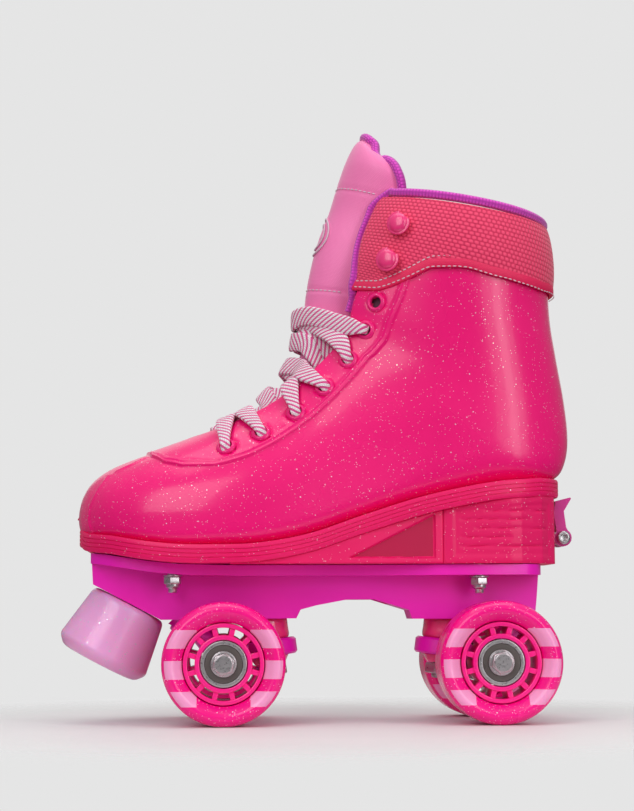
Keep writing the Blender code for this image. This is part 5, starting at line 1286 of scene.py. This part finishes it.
def build_mount_bolts():
    """Four bolts that hold the plate on: a pan head inside, a washer and a nut below the plate's flange."""
    for label, x, y in BOLTS:
        top = float(seam_height(x)) + SHELL_T + 2.1 if x < 0 else PLATE_TOP + GAP + 4.0 + GAP
        low = float(plate_top(x)) - 5.0 - GAP
        parts = [(p * (1, 1, -1) + (0, 0, low), f) for p, f in nut_parts(7.4, 0, 4.4, 4.7, 0.8)]
        below = [(0, low - 8.4), (2.1, low - 8.4), (2.3, low - 6.2), (3.2, low - 6.0), (3.3, low - 4.2),
                 (2.5, low)]
        shank = rounded(below + [(2.5, top), (4.2, top), (4.2, top + 1.3), (0, top + 2.2)], 0.4)
        points, faces, _ = lathe(shank, 32)
        points, faces = blocks(parts + [(points, faces)])
        put_mesh("mount_bolt_" + label + "_set", points + (x, y, 0), faces, FINISH["steel"], slot="steel",
                 replaces=("mount_bolt_" + label,))


# ---------------------------------------------------------------- trucks and wheels
def build_trucks():
    """Each truck: the hanger with its edges rounded, two cushions round the kingpin, the nut under them."""
    for name, axle_x, inward in (("front", AXLES[0], 1), ("rear", AXLES[1], -1)):
        body = name + "_truck"
        softened_copy(name + "_hanger", name + "_hanger_casting", FINISH["hanger"], 0.5, body)
        refinish(FINISH["steel"], name + "_axle")
        refinish(FINISH["zinc"], name + "_kingpin_bolt")
        refinish(FINISH["pivot"], name + "_pivot_cup")
        origin = np.array((axle_x + inward * KINGPIN_INSET, 0, RING_Z))
        tilt = -KINGPIN_LEAN * inward
        upper = round_ring([(4.4, 3.9), (10.6, 3.9), (11.2, 6.0), (11.0, 9.4), (11.2, 12.9), (10.6, 14.8),
                            (4.4, 14.8)], 1.5, 6)
        lower = round_ring([(4.4, -7.85), (7.2, -7.85), (9.6, -3.9), (4.4, -3.9)], 0.9, 5)
        for label, profile in (("upper", upper), ("lower", lower)):
            points, faces, _ = lathe(profile, 56)
            put_mesh(f"{name}_cushion_{label}_turned", placed(points, origin, tilt), faces, FINISH["cushion"],
                     slot="cushion", replaces=(f"{name}_cushion_{label}",), angle=60)
        points, faces = block(hexagon(13.0), -13.2, -8.25, 0.6, "Z")
        put_mesh(name + "_kingpin_nut_hex", placed(points, origin, tilt), faces, FINISH["steel"],
                 slot="steel",
                 replaces=(name + "_kingpin_nut",))


SPOKE = ((13.0, 0.100), (17.4, 0.070))      # radius and half the angle of a spoke at its two ends


def build_wheels():
    """Four wheels. A tyre and its core are turned; twelve blocks stand between the core's two rings; each
    bearing has two steel rings and a dark seal between them; the nut has a washer and a round collar."""
    side = [(CORE_R + GAP, HUB_HALF_W), (23.6, WHEEL_HALF_W - 0.1), (26.2, WHEEL_HALF_W), (WHEEL_R, 12.5)]
    tyre = round_ring([(r, -y) for r, y in side] + side[::-1], 2.0, 7)
    rim = square_ring(16.9, CORE_R, HUB_HALF_W, 0.6)
    hub = square_ring(11.25, 13.5, HUB_HALF_W, 0.6)
    bars = []
    for k in range(12):
        a = 2 * math.pi * (k + 0.5) / 12
        outline = [(r * math.cos(a + turn), r * math.sin(a + turn)) for r, spread in SPOKE
                   for turn in (-spread, spread)]
        outline = [outline[0], outline[2], outline[3], outline[1]]
        bars.append(block(outline, -10.6, 10.6, 0.35))
    rings = [square_ring(9.0, 10.85, 3.3, 0.3), square_ring(4.2, 6.1, 3.3, 0.3)]
    seal = square_ring(6.15, 8.95, 2.8, 0.25)
    along = (0, 1, 0)
    for truck, axle_x in zip(("front", "rear"), AXLES):
        for label, side in (("outer", -1), ("inner", 1)):
            name = f"{truck}_{label}_wheel"
            centre = np.array((axle_x, side * TRACK / 2, AXLE_Z))
            points, faces, _ = lathe(tyre, 144, axis=along)
            uv = points[:, [0, 2]] * MM
            put_mesh(name + "_tyre_turned", points + centre, faces, FINISH["tyre"], name, "urethane", uv,
                     replaces=(name + "_tyre",))
            parts = [lathe(p, 96, axis=along)[:2] for p in (rim, hub)] + bars
            points, faces = blocks(parts)
            put_mesh(name + "_core_moulding", points + centre, faces, FINISH["core"], name, "core_plastic",
                     replaces=(name + "_core",))
            for end, way in (("outer", side), ("inner", -side)):
                at = centre + (0, way * 7.9, 0)
                points, faces, _ = joined([lathe(p, 64, axis=along) for p in rings])
                bearing = f"{name}_bearing_{end}"
                put_mesh(bearing + "_rings", points + at, faces, FINISH["steel"], name, "steel",
                         replaces=(bearing,))
                points, faces, _ = lathe(seal, 64, axis=along)
                put_mesh(bearing + "_seal", points + at, faces, FINISH["seal"], name, "steel")
            parts = [(p[:, [0, 2, 1]] * (1, side, 1), f) for p, f in nut_parts(9.4, 0.0, 3.9, 5.7, 0.7)]
            collar, faces, _ = lathe(rounded([(0, 3.8), (4.3, 3.8), (4.3, 4.6), (3.0, 4.8), (3.0, 5.5),
                                              (0, 5.7)], 0.3), 40)
            parts.append((collar[:, [0, 2, 1]] * (1, side, 1), faces))
            points, faces = blocks(parts)
            put_mesh(name + "_nut_set", points + centre + (0, side * 11.85, 0), faces, FINISH["steel"],
                     truck + "_truck", "steel",
                     replaces=(name + "_axle_nut",))


# ---------------------------------------------------------------- floor, light and camera
LENS = 88.78
CAMERA_TURN = (0.0489, 0.1037, -0.0052)      # yaw, pitch and roll, radians
CAMERA_AT = ((-66.80 + ORIGIN_X) * MM, -0.98757, 0.05221)
FLOOR_R, FLOOR_SIDES = 1400, 96
WORLD_LIGHT = 0.36
# name, place, size, power in watts
LIGHTS = (
    ("Key", (-0.55, -1.0, 0.75), (0.7, 0.9), 6.5),
    ("Fill", (0.75, -1.0, 0.45), (0.6, 1.0), 3.6),
    ("Strip", (0.45, -0.55, 0.30), (0.10, 0.8), 0.8),
    ("Top", (0.0, 0.0, 1.1), (0.9, 0.7), 4.0),
    ("Back", (0.1, 1.0, 0.6), (1.2, 0.8), 1.5),
)


def build_stage():
    """A pale floor that fades out at its edge, soft lights all round, and the camera low beside the skate."""
    rim = np.column_stack([circle(FLOOR_R, FLOOR_SIDES), np.zeros(FLOOR_SIDES)])
    points = np.concatenate([[(0, 0, 0)], rim])
    mesh = bpy.data.meshes.new("floor")
    faces = [(0, 1 + i, 1 + (i + 1) % FLOOR_SIDES) for i in range(FLOOR_SIDES)]
    mesh.from_pydata((points * MM).tolist(), [], faces)
    floor = bpy.data.objects.new("floor", mesh)
    bpy.context.scene.collection.objects.link(floor)
    made, tree, bsdf, coords = finish("Floor", 0.55)
    fall = node(tree, "ShaderNodeVectorMath", {0: coords.outputs["Object"]}, operation="LENGTH")
    fade = node(tree, "ShaderNodeMapRange",
                {"Value": fall.outputs["Value"], "From Min": 0.14, "From Max": 0.30, "To Min": 1.0,
                                             "To Max": 0.0}, interpolation_type="SMOOTHSTEP")
    cloud = node(tree, "ShaderNodeTexNoise",
                 {"Vector": coords.outputs["Object"], "Scale": 6.0, "Detail": 2.0})
    tree.links.new(mixed(tree, cloud.outputs[0], rgb(0.76, 0.76, 0.76), rgb(0.78, 0.78, 0.78)),
                   bsdf.inputs["Base Color"])
    tree.links.new(fade.outputs[0], bsdf.inputs["Alpha"])
    mesh.materials.append(made)

    world = bpy.data.worlds.new("Studio")
    bpy.context.scene.world = world
    world.use_nodes = True
    tree = world.node_tree
    tree.nodes.clear()
    seen = node(tree, "ShaderNodeBackground", {"Color": rgb(0.784, 0.784, 0.784)})
    coords = tree.nodes.new("ShaderNodeTexCoord")
    parts = node(tree, "ShaderNodeSeparateXYZ", {0: coords.outputs["Generated"]})
    sky = node(tree, "ShaderNodeMapRange",
               {"Value": parts.outputs[2], "From Min": -0.25, "From Max": 0.8, "To Min": 0.35,
                "To Max": 1.35})
    lit = node(tree, "ShaderNodeBackground", {"Color": sky.outputs[0], "Strength": WORLD_LIGHT})
    ray = tree.nodes.new("ShaderNodeLightPath")
    mix = node(tree, "ShaderNodeMixShader",
               {0: ray.outputs["Is Camera Ray"], 1: lit.outputs[0], 2: seen.outputs[0]})
    out = node(tree, "ShaderNodeOutputWorld", {"Surface": mix.outputs[0]})
    out.is_active_output = True

    for name, place, size, power in LIGHTS:
        lamp = bpy.data.lights.new(name, "AREA")
        lamp.shape, lamp.size, lamp.size_y, lamp.energy = "RECTANGLE", size[0], size[1], power
        holder = bpy.data.objects.new(name, lamp)
        holder.location = place
        aim = Vector((0.0, 0.0, 0.13)) - Vector(place)
        holder.rotation_euler = aim.to_track_quat("-Z", "Y").to_euler()
        bpy.context.scene.collection.objects.link(holder)

    view = bpy.data.cameras.new("Studio view")
    view.lens, view.sensor_width = LENS, 36.0
    camera = bpy.data.objects.new("camera", view)
    yaw, pitch, roll = CAMERA_TURN
    ahead = np.array((math.sin(yaw) * math.cos(pitch), math.cos(yaw) * math.cos(pitch), math.sin(pitch)))
    right = np.array((math.cos(yaw), -math.sin(yaw), 0.0))
    up = np.cross(right, ahead)
    right, up = right * math.cos(roll) + up * math.sin(roll), up * math.cos(roll) - right * math.sin(roll)
    turn = Matrix(np.stack([right, up, -ahead], 1).tolist()).to_4x4()
    camera.matrix_world = Matrix.Translation(CAMERA_AT) @ turn
    bpy.context.scene.collection.objects.link(camera)
    bpy.context.scene.camera = camera
    bpy.context.scene.view_settings.view_transform = "Standard"
    bpy.context.scene.view_settings.look = "None"
    bpy.context.scene.display_settings.display_device = "sRGB"


# ---------------------------------------------------------------- add-on
class SkateSizes(bpy.types.PropertyGroup):
    """The sizes and colours that a user may change"""
    panel_height: bpy.props.FloatProperty(name="Lacing panel",
                                          description="How far the lacing panel stands out of the shell",
                                          default=0.0011, min=0.0, max=0.003, unit="LENGTH",
                                          subtype="DISTANCE")
    lace_width: bpy.props.FloatProperty(name="Lace width", description="Width of the flat lace",
                                        default=0.0096, min=0.004,
                                        max=0.012, unit="LENGTH", subtype="DISTANCE")
    lace_thickness: bpy.props.FloatProperty(name="Lace thickness", description="Thickness of the flat lace",
                                            default=0.0026,
                                            min=0.001, max=0.004, unit="LENGTH", subtype="DISTANCE")
    boot_colour: bpy.props.FloatVectorProperty(name="Boot colour", description="Colour of the boot's plastic",
                                               subtype="COLOR",
                                               default=(0.90, 0.004, 0.185), min=0.0, max=1.0)
    plate_colour: bpy.props.FloatVectorProperty(name="Plate colour", description="Colour of the plate",
                                                subtype="COLOR",
                                                default=(0.86, 0.0, 0.48), min=0.0, max=1.0)
    core_colour: bpy.props.FloatVectorProperty(name="Wheel colour",
                                               description="Colour of the wheels' spoked cores",
                                               subtype="COLOR", default=(0.93, 0.001, 0.24), min=0.0, max=1.0)


class SkatePiece:
    """What the operators share: each runs the function that builds its piece."""
    def execute(self, context):
        self.build()
        return {"FINISHED"}


class SkateFinishes(SkatePiece, bpy.types.Operator):
    """Makes the shared node groups and every finish"""
    bl_idname = "skate.finishes"
    bl_label = "Finishes"
    build = staticmethod(make_finishes)


class SkateShell(SkatePiece, bpy.types.Operator):
    """Builds the moulded shell with its lacing panel"""
    bl_idname = "skate.shell"
    bl_label = "Boot shell"
    build = staticmethod(build_shell)


class SkateEyelets(SkatePiece, bpy.types.Operator):
    """Builds the eyelet rings"""
    bl_idname = "skate.eyelets"
    bl_label = "Eyelets"
    build = staticmethod(build_eyelets)


class SkateOutsole(SkatePiece, bpy.types.Operator):
    """Builds the sole's rim"""
    bl_idname = "skate.outsole"
    bl_label = "Sole rim"
    build = staticmethod(build_outsole)


class SkateHeel(SkatePiece, bpy.types.Operator):
    """Builds the heel and the waist panel"""
    bl_idname = "skate.heel"
    bl_label = "Heel"
    build = staticmethod(build_heel)


class SkatePadding(SkatePiece, bpy.types.Operator):
    """Builds the lining, the footbed and the heel cup"""
    bl_idname = "skate.padding"
    bl_label = "Padding"
    build = staticmethod(build_padding)


class SkateCuff(SkatePiece, bpy.types.Operator):
    """Builds the woven cuff with its binding and piping"""
    bl_idname = "skate.cuff"
    bl_label = "Cuff"
    build = staticmethod(build_collar)


class SkateTongue(SkatePiece, bpy.types.Operator):
    """Builds the tongue with its binding"""
    bl_idname = "skate.tongue"
    bl_label = "Tongue"
    build = staticmethod(build_tongue)


class SkateLace(SkatePiece, bpy.types.Operator):
    """Builds the lace"""
    bl_idname = "skate.lace"
    bl_label = "Lace"
    build = staticmethod(build_lace)


class SkateHooks(SkatePiece, bpy.types.Operator):
    """Builds the four lace hooks"""
    bl_idname = "skate.hooks"
    bl_label = "Lace hooks"
    build = staticmethod(build_hooks)


class SkateAdjuster(SkatePiece, bpy.types.Operator):
    """Builds the size lever, its screw, the rod and the carriage"""
    bl_idname = "skate.adjuster"
    bl_label = "Size adjuster"
    build = staticmethod(build_adjuster)


class SkatePlate(SkatePiece, bpy.types.Operator):
    """Builds the plate"""
    bl_idname = "skate.plate"
    bl_label = "Plate"
    build = staticmethod(build_plate)


class SkateToeStop(SkatePiece, bpy.types.Operator):
    """Builds the toe stop and its post"""
    bl_idname = "skate.toe_stop"
    bl_label = "Toe stop"
    build = staticmethod(build_toe_stop)


class SkateMountBolts(SkatePiece, bpy.types.Operator):
    """Builds the four mounting bolts"""
    bl_idname = "skate.mount_bolts"
    bl_label = "Mounting bolts"
    build = staticmethod(build_mount_bolts)


class SkateTrucks(SkatePiece, bpy.types.Operator):
    """Builds both trucks"""
    bl_idname = "skate.trucks"
    bl_label = "Trucks"
    build = staticmethod(build_trucks)


class SkateWheels(SkatePiece, bpy.types.Operator):
    """Builds the four wheels with their bearings and nuts"""
    bl_idname = "skate.wheels"
    bl_label = "Wheels"
    build = staticmethod(build_wheels)


class SkateStage(SkatePiece, bpy.types.Operator):
    """Builds the floor, the lights and the camera"""
    bl_idname = "skate.stage"
    bl_label = "Stage"
    build = staticmethod(build_stage)


PIECES = (
    SkateFinishes, SkateShell, SkateEyelets, SkateOutsole, SkateHeel, SkatePadding, SkateCuff,
    SkateTongue, SkateLace, SkateHooks, SkateAdjuster, SkatePlate, SkateToeStop,
    SkateMountBolts, SkateTrucks, SkateWheels, SkateStage,
)


class SkatePanel(bpy.types.Panel):
    """Lists the skate's sizes, its colours and its pieces"""
    bl_idname = "VIEW3D_PT_skate"
    bl_label = "Quad Roller Skate"
    bl_space_type = "VIEW_3D"
    bl_region_type = "UI"
    bl_category = "Skate"

    def draw(self, context):
        for size in SkateSizes.__annotations__:
            self.layout.prop(context.scene.skate_sizes, size)
        for piece in PIECES:
            self.layout.operator(piece.bl_idname)


CLASSES = (SkateSizes, *PIECES, SkatePanel)


def register():
    """Adds the skate's classes and its sizes to Blender."""
    for made in CLASSES:
        bpy.utils.register_class(made)
    bpy.types.Scene.skate_sizes = bpy.props.PointerProperty(type=SkateSizes)


def unregister():
    """Takes them out again."""
    del bpy.types.Scene.skate_sizes
    for made in reversed(CLASSES):
        bpy.utils.unregister_class(made)


def main():
    """Runs every operator in turn."""
    register()
    for piece in PIECES:
        family, action = piece.bl_idname.split(".")
        getattr(getattr(bpy.ops, family), action)()


if __name__ == "__main__":
    main()
